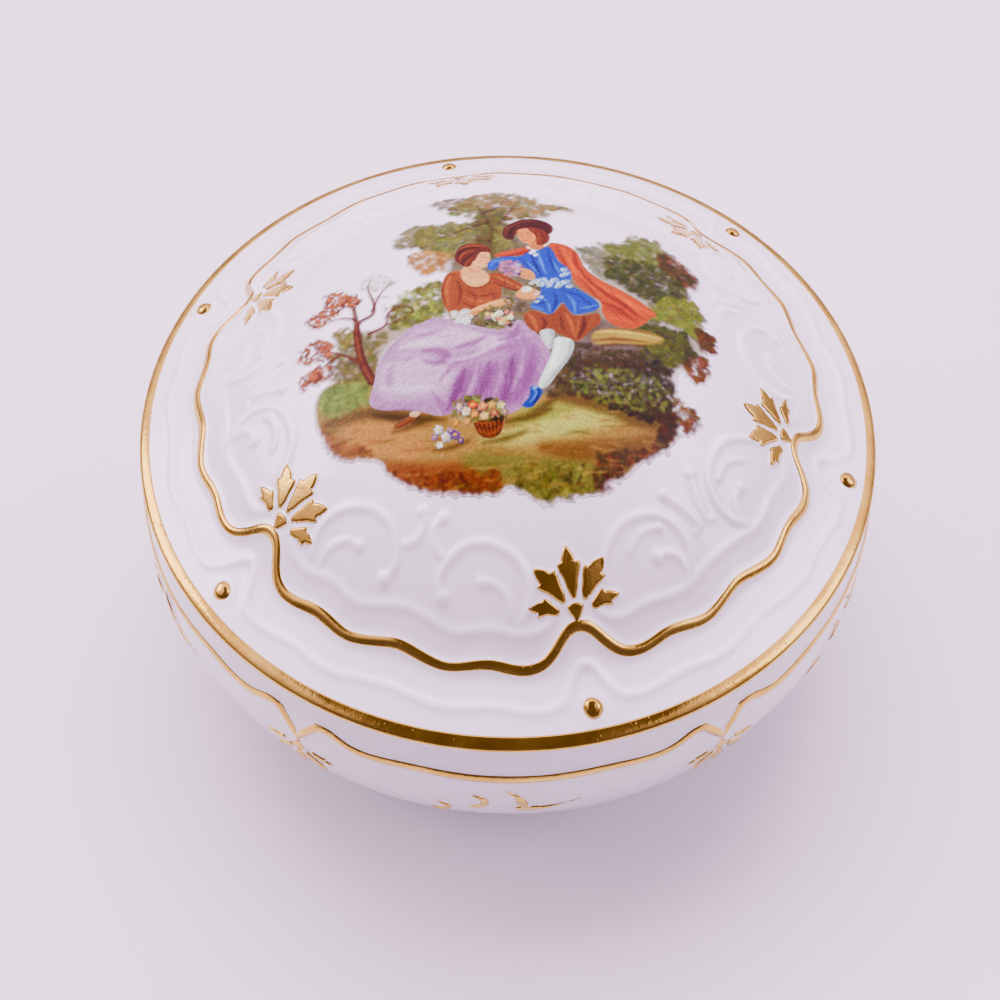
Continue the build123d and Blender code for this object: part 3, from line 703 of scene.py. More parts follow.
def paint_bare_tree_on_the_left(land):
    """Bare tree on the left."""
    bark, pale = (122, 62, 36), (176, 108, 72)
    for line, wide in (("-19.1,-10.9 -20.4,-8.4 -21.4,-5.4 -22.0,-2.0 -22.5,1.0 -23.2,3.6 -24.4,5.3",
                        (1.5, 1.15, 0.35)),
                       ("-22.0,-2.0 -21.7,0.2 -19.9,1.4 -20.2,4.4 -21.1,7.0 -20.8,9.1", (0.9, 0.55, 0.25)),
                       ("-20.1,1.9 -18.7,6.1 -16.8,7.6", (0.45, 0.35, 0.15)),
                       ("-20.2,-2.4 -17.8,-1.1 -17.6,1.0 -15.5,2.3 -13.8,1.4", (0.5, 0.4, 0.15)),
                       ("-22.5,0.6 -23.8,1.4 -26.1,1.6 -28.2,0.6", (0.55, 0.35, 0.15)),
                       ("-23.2,3.6 -25.7,4.4 -27.8,4.4", (0.4, 0.3, 0.15)),
                       ("-22.9,2.7 -22.5,4.8 -23.4,7.0", (0.4, 0.25, 0.12)),
                       ("-20.8,-7.7 -22.9,-6.2 -25.7,-4.7 -28.7,-4.3", (0.6, 0.4, 0.15)),
                       ("-24.4,-5.6 -26.5,-6.9 -28.7,-8.8", (0.4, 0.3, 0.12)),
                       ("-25.7,-4.7 -27.0,-3.2 -28.7,-2.8", (0.3, 0.2, 0.1)),
                       ("-17.8,-1.1 -16.3,-0.7 -15.5,0.2", (0.3, 0.2, 0.1)),
                       ("-20.2,4.4 -18.9,4.8 -17.6,4.4", (0.25, 0.2, 0.1))):
        land.stroke(line, wide, bark, 0.95, 0.12, True)
        land.stroke(spots(line) + (-0.12, 0.05), np.array(wide) * 0.35, pale, 0.6, 0.15)
    rust = [(122, 58, 34), (160, 84, 52), (190, 122, 84)]
    for area, count in (("-28.2,7.4 -25.3,8.0 -24.0,6.5 -24.4,4.4 -27.4,4.8", 90),
                        ("-30.4,2.7 -27.4,4.8 -24.4,4.4 -25.3,2.7 -27.8,0.2 -29.9,1.4", 120),
                        ("-24.8,7.0 -22.1,5.3 -21.9,3.6 -24.0,3.6", 55),
                        ("-30.8,-3.2 -28.2,-1.8 -25.3,-3.2 -25.7,-5.8 -28.7,-6.2 -30.8,-4.9", 130),
                        ("-30.6,-8.4 -27.8,-7.1 -26.5,-8.8 -29.5,-10.9", 70),
                        ("-24.4,-7.9 -26.1,-6.6 -27.8,-6.6 -28.7,-9.2 -26.5,-10.5", 50)):
        land.leaves(area, count, 0.62, rust, flat=0.45, strength=0.9, edge=0.3)
    land.leaves("-22.5,9.1 -19.7,10.4 -17.6,8.7 -16.3,7.4 -19.7,6.1 -21.9,7.0", 90, 0.5,
                [(120, 124, 76), (164, 168, 116)], flat=0.45, strength=0.6)
    land.leaves("-18.5,3.1 -15.5,2.7 -12.9,1.0 -15.5,-1.1 -18.0,0.2", 70, 0.5,
                [(112, 88, 50), (150, 130, 80)], flat=0.45, strength=0.6)


def paint_skirt(folk):
    """Skirt."""
    skirt = spots("-12.5,-1.3 -10.4,-0.2 -7.8,-1.2 -5.3,-2.0 -2.7,-2.9 -0.6,-2.8 1.5,-0.6 3.0,-2.5 "
                  "4.7,-4.1 5.9,-6.0 6.0,-8.4 5.1,-10.9 3.9,-13.0 2.6,-15.4 1.1,-16.9 -1.2,-17.4 "
                  "-5.3,-17.2 -7.4,-16.9 -9.3,-17.5 -12.1,-16.5 -14.6,-16.1 -17.8,-15.9 -19.7,-14.6 "
                  "-19.0,-12.2 -18.6,-8.8 -17.8,-6.4 -16.1,-4.1 -14.4,-2.4")
    folk.fill(skirt, (196, 148, 200), 0.12)
    for area, tone, edge, strength in (
            ("-13.8,-2.8 -8.7,-2.0 -4.4,-3.2 -0.2,-4.1 -2.7,-6.6 -8.7,-6.2 -14.2,-5.8 -16.3,-6.2",
             (226, 192, 228), 1.3, 0.8),
            ("-18.3,-8.4 -14.6,-6.6 -8.7,-8.8 -7.0,-11.8 -8.7,-14.3 -14.6,-14.3 -18.5,-13.5",
             (224, 188, 228), 1.4, 0.8),
            ("-7.0,-10.1 -1.9,-8.8 4.1,-6.6 5.6,-8.4 4.1,-11.8 1.5,-16.0 -5.3,-16.6 -8.7,-16.9",
             (168, 104, 172), 1.2, 0.85),
            ("-1.0,-4.1 2.8,-3.2 5.3,-5.8 4.9,-8.4 1.5,-8.4 -1.0,-6.6", (176, 116, 182), 1.1, 0.7)):
        folk.fill(area, tone, edge, strength, new=False)
    folds = (("-12.1,-6.6 -10.0,-6.7 -8.7,-7.7 -10.0,-8.8 -11.7,-8.4", 1.5, (166, 100, 168), 0.75),
             ("-7.4,-6.2 -5.3,-5.6 -3.2,-4.3", 1.0, (160, 96, 166), 0.75),
             ("-14.2,-4.3 -11.2,-3.5 -9.5,-2.8", 0.9, (178, 118, 182), 0.6),
             ("-9.5,-11.8 -7.0,-8.8 -2.7,-6.9 1.1,-5.6", 1.3, (176, 112, 178), 0.65),
             ("-16.3,-8.4 -16.7,-10.9 -16.3,-13.0", 1.3, (180, 126, 186), 0.55),
             ("-17.6,-6.6 -15.5,-7.7 -13.4,-7.7", 1.0, (190, 140, 196), 0.5),
             ("-6.1,-10.1 -7.0,-13.0 -8.3,-16.4", 1.5, (146, 80, 148), 0.7),
             ("-2.7,-8.8 -3.2,-12.6 -4.9,-16.4", 1.3, (150, 84, 152), 0.65),
             ("0.7,-7.5 0.2,-11.8 -1.0,-16.4", 1.4, (146, 80, 150), 0.65),
             ("3.6,-6.6 2.8,-10.9 1.1,-14.7", 1.3, (158, 94, 160), 0.6),
             ("-4.4,-9.6 -4.9,-12.6 -6.1,-16.0", 0.9, (216, 172, 218), 0.6),
             ("-1.0,-8.4 -1.2,-11.8 -2.5,-16.0", 0.8, (208, 160, 210), 0.55),
             ("2.2,-6.6 1.7,-10.1 0.5,-13.5", 0.8, (214, 168, 216), 0.55),
             ("4.1,-4.9 4.9,-7.5 3.9,-10.5", 0.6, (206, 156, 208), 0.5),
             ("-8.7,-8.4 -4.9,-7.7 -1.0,-5.2 1.5,-4.3", 0.9, (238, 210, 240), 0.65),
             ("-15.5,-5.8 -12.1,-5.2 -8.7,-5.4", 1.0, (238, 212, 240), 0.6),
             ("-17.8,-12.2 -14.2,-13.0 -10.4,-12.6", 1.2, (236, 208, 240), 0.6),
             ("-17.6,-14.7 -13.4,-15.4 -9.5,-15.2", 0.7, (186, 136, 192), 0.5),
             ("-10.4,-13.9 -9.1,-15.6 -8.7,-17.1", 0.8, (156, 92, 160), 0.5),
             ("-14.6,-10.1 -11.7,-10.5 -9.1,-10.1", 0.8, (206, 160, 212), 0.5),
             ("1.5,-2.0 0.7,-4.1 -1.0,-4.9", 1.0, (150, 88, 158), 0.6),
             ("-5.3,-2.8 -1.9,-3.7 0.7,-3.2", 0.6, (160, 100, 166), 0.5))
    for line, wide, tone, strength in folds:
        folk.stroke(line, (wide * 0.3, wide, wide * 0.3), tone, strength, 0.42)
    rng = np.random.default_rng(5)
    for _ in range(240):
        x, y = rng.uniform(-19, 5), rng.uniform(-16.5, -2)
        a = math.atan2(y + 1, x + 1.5) + rng.normal(0, 0.25)
        r = rng.uniform(0.8, 2.6)
        tone = [(236, 210, 240), (168, 106, 172), (206, 162, 210)][rng.integers(3)]
        folk.stroke(np.array([(x, y), (x + r * math.cos(a), y + r * math.sin(a))]), (0.05, 0.22, 0.05),
                    tone, 0.28, 0.15)
    folk.stroke("-12.1,-16.7 -13.8,-16.1 -16.3,-16.1 -18.5,-15.7", (0.3, 0.35, 0.2), (128, 74, 132), 0.5, 0.2)


def paint_her_shoe(folk):
    """Her shoe."""
    folk.fill("-16.0,-18.7 -15.3,-17.8 -13.6,-17.1 -12.5,-16.4 -12.2,-17.1 -13.4,-18.2 -14.9,-18.8",
              (150, 88, 56), 0.08)
    folk.fill("-13.8,-16.5 -12.2,-16.3 -12.0,-17.1 -13.2,-17.4", (226, 190, 176), 0.1)
    folk.stroke("-15.7,-18.6 -14.2,-17.8 -12.9,-17.1", (0.15, 0.25, 0.15), (196, 132, 92), 0.7)


def paint_her_bodice(folk):
    """Her bodice, neck and sleeves."""
    folk.fill("-9.3,8.7 -7.6,9.4 -5.3,8.7 -2.7,8.7 -1.2,7.6 -0.8,4.8 -1.2,2.3 -2.7,0.6 -5.3,-0.5 "
              "-7.4,-1.1 -8.7,0.2 -9.8,2.7 -10.1,5.7", (172, 98, 54), 0.1)
    folk.fill("-7.3,9.1 -6.2,10.6 -5.8,12.1 -4.1,11.0 -4.4,9.7 -3.2,8.7 -2.7,7.4 -3.2,6.1 -4.9,5.4 "
              "-6.4,6.1 -7.1,7.5", (226, 172, 138), 0.1)
    folk.stroke("-6.2,10.4 -5.6,9.1 -4.4,8.7", (0.3, 0.4, 0.2), (196, 128, 92), 0.5, 0.2)
    folk.stroke("-6.6,7.6 -4.9,6.5 -3.2,7.2", (0.4, 0.7, 0.3), (240, 196, 164), 0.6, 0.25)
    folk.stroke("-7.2,7.4 -6.2,6.0 -4.9,5.3 -3.2,5.9 -2.6,7.2", (0.16, 0.2, 0.16), (134, 70, 36), 0.7, 0.1)
    for line, wide, tone in (("-8.7,7.8 -9.2,4.8 -8.7,1.9", 0.8, (200, 126, 74)),
                             ("-7.6,7.0 -7.0,4.4 -7.4,1.9", 0.6, (128, 66, 34)),
                             ("-6.1,4.8 -4.4,3.6 -1.9,4.2", 0.5, (128, 66, 34)),
                             ("-6.6,3.6 -4.4,2.5 -1.9,3.1", 0.5, (202, 128, 78)),
                             ("-6.6,2.3 -4.4,1.2 -2.3,1.9", 0.45, (130, 70, 36)),
                             ("-9.5,6.5 -9.7,4.4 -9.1,2.3", 0.4, (130, 68, 34)),
                             ("-5.3,4.8 -4.9,2.7 -5.3,0.6", 0.35, (150, 82, 44)),
                             ("-2.7,4.8 -2.1,3.1 -2.7,1.4", 0.5, (146, 80, 42)),
                             ("-8.7,8.7 -7.4,9.0 -7.0,8.2", 0.4, (204, 136, 88)),
                             ("-4.4,4.4 -4.1,2.5 -4.7,0.6", 0.25, (206, 134, 84)),
                             ("-9.3,1.4 -8.7,0.6 -8.1,0.2", 0.4, (206, 130, 80))):
        folk.stroke(line, (wide * 0.4, wide, wide * 0.4), tone, 0.65, 0.2)
    folk.fill("-2.7,8.7 -1.2,8.7 1.1,7.0 2.9,5.4 2.2,4.4 0.2,4.8 -1.8,6.1 -2.5,7.4", (166, 92, 50), 0.1)
    folk.stroke("-1.9,7.8 -0.2,6.7 1.7,5.3", (0.3, 0.6, 0.3), (204, 130, 78), 0.7, 0.2)
    folk.stroke("-2.2,6.5 -0.2,5.3 1.5,4.6", (0.2, 0.4, 0.2), (120, 60, 30), 0.6, 0.15)
    folk.stroke("-0.8,7.6 -0.5,6.6 -0.7,5.8", (0.1, 0.25, 0.1), (126, 64, 34), 0.5, 0.12)
    folk.stroke("0.5,6.7 0.9,5.9 0.7,4.9", (0.1, 0.25, 0.1), (126, 64, 34), 0.5, 0.12)
    folk.fill("1.7,5.2 3.1,5.6 4.6,4.9 5.0,4.1 4.1,3.2 2.6,2.7 1.2,3.2 0.9,4.1", (224, 164, 124), 0.1)
    folk.stroke("1.1,3.5 2.8,3.0 4.4,3.5", (0.15, 0.3, 0.15), (172, 104, 68), 0.6, 0.12)
    folk.stroke("3.0,4.8 4.1,4.6 4.7,4.1", (0.1, 0.14, 0.1), (160, 92, 60), 0.6, 0.08)
    folk.fill("2.0,5.8 3.2,5.9 3.6,5.1 2.8,4.4 1.8,4.6", (232, 228, 240), 0.15, 0.85)
    folk.fill("-5.8,0.7 -3.2,2.2 -0.8,3.2 0.2,2.7 -0.1,1.9 -2.2,0.9 -4.7,-0.2 -5.7,-0.1", (226, 168, 130),
              0.1)
    folk.stroke("-5.5,0.1 -3.2,0.8 -0.6,1.9", (0.2, 0.35, 0.2), (178, 112, 76), 0.6, 0.15)
    folk.stroke("-5.3,0.8 -3.2,1.8 -1.0,2.8", (0.15, 0.3, 0.15), (244, 202, 170), 0.6, 0.15)
    for x, y, s in ((-7.4, -0.2, 1.15), (-6.3, 0.5, 1.0), (-5.9, -0.6, 1.05), (-7.0, -1.2, 1.0),
                    (-6.0, -1.5, 0.8), (-7.9, 0.4, 0.7)):
        folk.dab(x, y, s, 0.3, 0.7, (228, 224, 238), 0.8)
        for turn in range(6):
            bx, by = x + 0.5 * s * math.cos(turn * 2.1 + x), y + 0.4 * s * math.sin(turn * 2.1 + x)
            folk.dab(bx, by, s * 0.34, turn + x, 0.45, (246, 244, 250) if turn % 2 else (176, 178, 208), 0.75)


def paint_her_head(folk):
    """Her head: plain face turned to the right, hair dressed up."""
    folk.fill("-5.4,13.8 -3.9,13.9 -2.9,13.2 -2.7,12.1 -2.8,10.9 -3.3,9.8 -4.3,9.5 -5.3,9.9 -5.9,11.2 "
              "-6.1,12.7", (232, 178, 146), 0.1)
    folk.fill("-8.2,12.9 -7.8,14.6 -6.4,15.6 -4.7,15.7 -3.2,15.0 -2.5,13.8 -2.7,12.9 -3.2,13.4 -4.2,13.3 "
              "-4.7,12.7 -4.9,11.6 -5.5,11.0 -5.6,10.1 -6.7,9.8 -7.8,10.9 -8.3,11.8", (132, 70, 42), 0.1)
    for line, wide, tone in (("-7.4,14.2 -5.7,15.0 -3.6,14.6", 0.45, (190, 118, 74)),
                             ("-7.7,12.9 -6.6,14.2 -4.4,14.4", 0.4, (94, 46, 28)),
                             ("-7.4,11.6 -6.8,13.1 -5.1,13.8", 0.4, (186, 114, 72)),
                             ("-7.0,10.4 -6.5,11.8 -5.3,12.9", 0.4, (98, 48, 28)),
                             ("-6.4,15.2 -4.7,15.5 -3.0,14.5", 0.3, (158, 90, 54)),
                             ("-7.8,12.1 -7.3,13.3 -6.4,14.3", 0.3, (96, 48, 30)),
                             ("-6.6,10.1 -6.1,11.2 -5.4,12.1", 0.3, (176, 106, 66))):
        folk.stroke(line, (wide * 0.4, wide, wide * 0.4), tone, 0.7, 0.12)
    for line, wide, tone, strength in (("-4.3,12.6 -3.8,12.7 -3.5,12.6", 0.10, (120, 66, 44), 0.8),
                                       ("-3.2,12.6 -3.0,12.7 -2.8,12.6", 0.08, (120, 66, 44), 0.7),
                                       ("-4.2,12.1 -3.9,12.0 -3.5,12.1", 0.13, (84, 44, 34), 0.85),
                                       ("-3.2,12.1 -3.0,12.0 -2.9,12.1", 0.11, (84, 44, 34), 0.8),
                                       ("-3.3,12.0 -3.1,11.4 -3.3,11.2", 0.09, (196, 126, 96), 0.8),
                                       ("-3.6,10.7 -3.3,10.6 -3.1,10.7", 0.16, (188, 78, 70), 0.85),
                                       ("-4.9,10.4 -4.3,9.8 -3.5,9.9", 0.25, (206, 142, 110), 0.6)):
        folk.stroke(line, (wide * 0.6, wide, wide * 0.6), tone, strength, 0.06)
    folk.dab(*spots("-4.1,11.2")[0], 0.5, 0, 1, (226, 138, 116), 0.45, 0.9)
    folk.dab(*spots("-4.1,13.1")[0], 0.5, 0.2, 0.6, (244, 204, 176), 0.6, 0.8)


def paint_his_cape(folk):
    """His cape."""
    cape = spots("4.1,14.9 6.0,16.4 8.3,16.3 10.0,15.2 10.9,13.2 11.5,10.6 13.6,8.4 16.4,7.0 19.2,5.3 "
                 "21.2,3.8 22.3,2.6 20.9,1.8 20.2,0.6 18.5,-0.9 16.4,-1.2 14.5,-0.5 13.5,1.4 13.7,3.6 "
                 "12.1,4.8 10.0,6.5 9.4,8.7 8.1,11.0 6.8,13.3")
    folk.fill(cape, (200, 100, 42), 0.12)
    folk.fill("-2.5,12.4 -1.0,13.6 1.5,14.3 3.4,15.2 4.3,14.5 2.8,12.9 0.7,12.4 -1.2,12.1", (186, 80, 36),
              0.12)
    for line, wide, tone, strength in (
            ("10.0,14.2 10.4,10.4 12.6,7.0 16.0,4.4 18.9,1.9", 1.3, (150, 52, 20), 0.6),
            ("8.3,15.0 9.4,11.2 11.3,7.8 13.8,5.3", 1.1, (226, 116, 58), 0.7),
            ("12.6,7.8 15.5,5.7 18.5,4.0 21.3,2.6", 1.1, (232, 124, 64), 0.65),
            ("14.1,3.6 16.4,2.3 18.5,0.6", 1.1, (156, 56, 22), 0.6),
            ("14.3,0.6 16.4,0.6 18.1,0.2", 0.9, (224, 112, 56), 0.6),
            ("15.1,6.1 17.2,3.6 19.8,1.4", 0.6, (160, 60, 26), 0.55),
            ("7.3,15.5 7.9,12.9 9.0,10.4", 0.7, (158, 60, 26), 0.6),
            ("12.6,4.8 14.7,2.7 16.8,0.2", 0.6, (170, 66, 28), 0.5),
            ("-1.9,12.7 0.2,13.3 2.8,14.5", 0.6, (220, 118, 66), 0.6),
            ("-1.0,12.3 1.1,12.7 3.2,13.8", 0.5, (140, 52, 24), 0.6),
            ("10.2,8.7 12.1,6.1 13.6,3.1", 0.5, (142, 48, 20), 0.5),
            ("17.2,4.8 18.9,2.9 20.2,1.9", 0.4, (238, 140, 84), 0.55)):
        folk.stroke(line, (wide * 0.3, wide, wide * 0.3), tone, strength, 0.3)


def paint_his_coat(folk):
    """His coat."""
    coat = spots("-3.2,9.3 -3.2,10.8 -2.2,11.9 -0.2,12.4 1.5,12.3 2.6,13.1 3.4,14.2 4.9,14.2 6.0,15.5 "
                 "6.8,14.2 7.5,11.6 9.0,10.4 9.5,8.7 9.0,6.5 10.4,5.9 13.6,3.3 13.1,1.9 11.3,1.0 9.4,0.4 "
                 "8.4,1.9 7.9,3.1 7.0,1.4 6.1,-0.1 4.9,0.8 2.9,1.3 3.6,2.7 4.9,4.4 4.5,7.0 3.0,8.7 "
                 "2.2,9.9 0.2,10.4 -1.5,10.1 -2.1,9.1")
    folk.fill(coat, (52, 92, 200), 0.1)
    for line, wide, tone, strength in (
            ("3.4,12.9 4.1,10.4 4.9,8.2", 0.5, (26, 44, 130), 0.7),
            ("4.5,13.8 4.9,11.2 5.6,8.7", 0.6, (126, 164, 236), 0.75),
            ("6.0,14.2 6.4,11.6 7.0,9.1", 0.6, (30, 54, 150), 0.6),
            ("6.6,12.1 7.3,9.9 7.9,8.7", 0.4, (132, 170, 238), 0.6),
            ("-2.7,9.9 -2.1,11.2 -0.2,11.7", 0.5, (122, 160, 232), 0.65),
            ("-1.9,10.1 -0.2,11.0 1.5,11.0", 0.5, (28, 50, 140), 0.6),
            ("2.8,11.2 3.6,9.9 4.5,8.7", 0.4, (140, 176, 240), 0.55),
            ("4.9,3.6 5.8,2.3 6.0,0.6", 0.5, (130, 166, 236), 0.65),
            ("6.6,4.8 7.0,3.1 6.4,1.0", 0.5, (28, 48, 140), 0.65),
            ("8.7,4.4 9.6,2.7 9.6,0.8", 0.6, (126, 164, 236), 0.65),
            ("10.0,4.8 11.7,3.1 12.6,2.1", 0.6, (34, 60, 160), 0.6),
            ("10.4,1.9 11.7,2.3 13.0,2.9", 0.35, (150, 184, 242), 0.6),
            ("4.1,2.1 4.9,2.5 6.0,2.7", 0.35, (30, 50, 140), 0.6),
            ("3.4,1.6 4.3,1.4 5.1,1.0", 0.3, (150, 184, 242), 0.6),
            ("7.9,5.3 9.4,4.8 10.9,4.4", 0.4, (28, 50, 144), 0.6),
            ("5.3,6.3 7.0,6.1 9.0,5.8", 0.4, (28, 50, 140), 0.6),
            ("1.9,11.8 2.6,10.8 3.4,9.3", 0.3, (30, 56, 150), 0.5),
            ("-1.1,10.4 -0.5,11.2 0.7,11.6", 0.25, (150, 182, 240), 0.5)):
        folk.stroke(line, (wide * 0.3, wide, wide * 0.3), tone, strength, 0.16)
    for x, y, s in ((3.3, 14.8, 0.75), (4.0, 14.3, 0.8), (3.6, 13.5, 0.7), (4.5, 14.9, 0.6),
                    (6.0, 16.0, 0.5), (5.5, 15.4, 0.5), (4.1, 12.9, 0.5)):
        folk.dab(x, y, s, 0.6, 0.7, (236, 234, 246), 0.95)
        folk.dab(x + 0.2, y - 0.2, s * 0.4, 0.6, 0.6, (150, 160, 210), 0.6)


def paint_his_cuffs_and_hands(folk):
    """His cuffs and hands."""
    folk.fill("1.3,9.4 2.6,9.8 3.6,9.1 4.1,8.0 3.6,7.1 2.4,7.3 1.5,8.0 1.0,8.7", (222, 160, 120), 0.1)
    for line in ("1.5,9.0 2.4,8.7 3.0,8.1", "1.3,8.5 2.1,8.1 2.8,7.7"):
        folk.stroke(line, (0.08, 0.14, 0.08), (160, 94, 64), 0.6, 0.07)
    for x, y, s in ((4.1, 7.0, 0.95), (5.1, 7.3, 0.95), (6.0, 6.7, 0.95), (4.7, 6.3, 0.9), (6.8, 7.4, 0.9),
                    (7.7, 6.7, 1), (8.5, 7.2, 0.9), (9.0, 6.3, 0.8),
                    (7.3, 6.1, 0.8), (8.3, 9.9, 0.8), (8.7, 9.1, 0.8), (8.1, 8.6, 0.7), (6.0, 6.1, 0.7),
                    (3.4, 6.5, 0.7), (4.1, 4.4, 0.6), (4.7, 3.6, 0.6),
                    (4.1, 2.7, 0.6)):
        folk.dab(x, y, s, 0.5, 0.6, (222, 222, 238), 0.6)
        for turn in range(5):
            bx, by = x + 0.45 * s * math.cos(turn * 2.4 + x), y + 0.35 * s * math.sin(turn * 2.4 + x)
            folk.dab(bx, by, s * 0.34, turn + x, 0.45, (244, 243, 250) if turn % 2 else (156, 164, 206), 0.75)
    folk.leaves("-1.5,10.4 0.2,11.4 2.2,11.0 2.2,9.1 1.1,7.8 -0.8,8.2", 90, 0.55,
                [(120, 90, 130), (170, 120, 180), (206, 160, 212), (190, 120, 150)], flat=0.8, strength=0.9)


def paint_his_breeches(folk):
    """His breeches, stockings and shoe."""
    folk.fill("2.0,0.2 3.6,1.1 6.0,-0.1 7.0,1.2 8.0,2.9 8.6,1.6 9.4,0.2 11.7,0.8 13.4,1.6 13.5,-0.7 "
              "12.1,-2.0 10.4,-4.3 9.4,-4.6 7.3,-3.5 6.0,-2.5 4.5,-3.5 3.0,-2.8 2.2,-1.3", (164, 92, 46),
              0.12)
    for line, wide, tone in (("2.8,0.2 3.6,-1.1 4.1,-2.8", 0.8, (206, 134, 76)),
                             ("4.9,-0.5 5.3,-1.5 4.9,-2.8", 0.6, (112, 56, 28)),
                             ("8.3,0.6 9.0,-1.1 9.4,-3.2", 0.8, (204, 130, 72)),
                             ("10.9,0.2 10.9,-1.5 10.0,-3.7", 0.8, (112, 56, 28)),
                             ("7.5,0.2 7.7,-1.5 7.9,-2.8", 0.5, (126, 66, 32)),
                             ("12.4,0.8 12.1,-0.7 11.3,-2.0", 0.5, (178, 104, 56)),
                             ("10.0,-0.3 10.0,-2.0 9.6,-3.7", 0.25, (214, 146, 90))):
        folk.stroke(line, (wide * 0.4, wide, wide * 0.4), tone, 0.65, 0.22)
    folk.fill("4.3,-2.9 6.2,-2.4 6.7,-3.2 6.5,-4.9 6.0,-6.4 5.3,-5.6 4.7,-4.3", (210, 206, 220), 0.1)
    folk.stroke("6.0,-2.8 6.4,-4.1 6.0,-5.8", (0.3, 0.4, 0.2), (150, 146, 172), 0.6, 0.15)
    folk.fill("6.7,-3.6 9.5,-4.2 9.3,-6.2 8.2,-8.4 6.8,-10.5 5.5,-12.8 4.1,-13.1 4.3,-11.8 5.1,-9.6 "
              "6.0,-7.5 6.4,-5.4", (226, 224, 232), 0.1)
    folk.stroke("9.0,-4.7 8.4,-7.5 6.8,-10.1 5.1,-12.6", (0.6, 0.8, 0.4), (164, 160, 180), 0.6, 0.25)
    folk.stroke("7.3,-4.3 6.6,-7.5 5.6,-10.1", (0.4, 0.7, 0.3), (250, 250, 252), 0.7, 0.2)
    folk.fill("3.0,-12.4 4.9,-12.9 4.7,-14.1 4.0,-15.2 3.2,-16.2 1.8,-16.0 2.3,-15.2 3.1,-14.3",
              (46, 86, 190), 0.1)
    folk.stroke("3.5,-12.9 3.9,-13.9 3.0,-15.2", (0.2, 0.4, 0.2), (130, 166, 232), 0.7, 0.12)
    folk.stroke("4.3,-13.3 4.1,-14.3 3.5,-15.7", (0.2, 0.35, 0.2), (24, 44, 120), 0.7, 0.1)
    folk.dab(*spots("3.7,-12.9")[0], 0.5, 0.5, 0.6, (150, 184, 240), 0.9)


def paint_his_head(folk):
    """His head: plain face looking down to the left, hair to the collar, hat tipped back."""
    folk.fill("2.9,16.1 4.6,16.1 5.6,15.5 4.9,14.2 3.6,14.2 3.0,14.8", (206, 138, 100), 0.1)
    folk.fill("0.6,19.2 1.5,20.5 4.1,20.6 6.0,19.5 6.5,17.6 6.1,16.1 4.9,15.3 4.1,15.6 4.3,17.4 3.6,19.2 "
              "2.0,19.6 1.5,18.6 1.1,17.5 0.7,17.8", (128, 64, 38), 0.12)
    folk.fill("1.2,19.2 2.8,19.9 4.1,19.5 4.9,18.0 4.9,16.5 4.1,15.6 2.9,15.5 2.0,16.0 1.5,16.8 1.3,17.8",
              (222, 152, 112), 0.1)
    folk.fill("3.0,20.1 4.9,19.9 6.0,18.6 6.3,16.9 5.4,15.8 4.4,15.5 4.1,16.5 4.3,17.6 3.7,18.6 3.1,19.2",
              (150, 78, 44), 0.12)
    for line, tone in (("3.6,19.5 4.6,18.0 4.6,16.1", (190, 112, 66)),
                       ("4.5,19.5 5.4,17.8 5.3,16.1", (100, 48, 30)),
                       ("4.0,19.3 4.3,18.0 4.3,16.7", (104, 52, 32))):
        folk.stroke(line, (0.1, 0.32, 0.1), tone, 0.65, 0.1)
    folk.fill("-1.1,18.4 -0.8,19.9 0.5,21.4 2.0,22.5 3.9,22.9 5.8,22.3 7.0,21.0 7.0,19.5 6.3,18.2 "
              "5.6,19.2 4.9,19.9 3.6,20.2 2.2,20.1 1.2,19.5 0.7,18.4 1.0,16.9 0.5,16.3 -0.5,16.6 -1.0,17.4",
              (112, 58, 48), 0.12)
    for line, wide, tone in (("-0.5,17.6 -0.2,19.5 1.5,21.2", 0.6, (156, 96, 84)),
                             ("1.1,21.0 3.2,22.0 5.6,21.4", 0.6, (146, 84, 72)),
                             ("0.5,17.2 0.3,18.6 1.1,19.9", 0.35, (76, 36, 32)),
                             ("2.4,20.3 4.5,20.6 6.2,19.5", 0.4, (78, 38, 34)),
                             ("2.8,21.4 4.5,21.8 6.0,20.8", 0.35, (84, 42, 36)),
                             ("6.4,20.6 6.7,19.5 6.3,18.5", 0.35, (150, 90, 78))):
        folk.stroke(line, (wide * 0.4, wide, wide * 0.4), tone, 0.6, 0.18)
    for line, wide, tone, strength in (("1.5,18.4 1.8,18.5 2.2,18.4", 0.10, (98, 50, 32), 0.8),
                                       ("2.6,18.4 3.0,18.6 3.5,18.4", 0.11, (98, 50, 32), 0.8),
                                       ("1.6,17.9 1.8,17.8 2.1,17.9", 0.12, (74, 38, 30), 0.85),
                                       ("2.7,17.9 3.0,17.8 3.4,18.0", 0.13, (74, 38, 30), 0.85),
                                       ("2.3,17.8 2.0,17.1 2.4,17.0", 0.10, (184, 112, 80), 0.8),
                                       ("2.0,16.4 2.4,16.3 2.8,16.5", 0.14, (176, 80, 66), 0.8),
                                       ("3.5,15.9 4.1,16.3 4.4,17.2", 0.35, (184, 112, 78), 0.6)):
        folk.stroke(line, (wide * 0.6, wide, wide * 0.6), tone, strength, 0.06)
    folk.dab(*spots("3.2,17.1")[0], 0.55, 0, 1, (222, 130, 98), 0.4, 0.9)


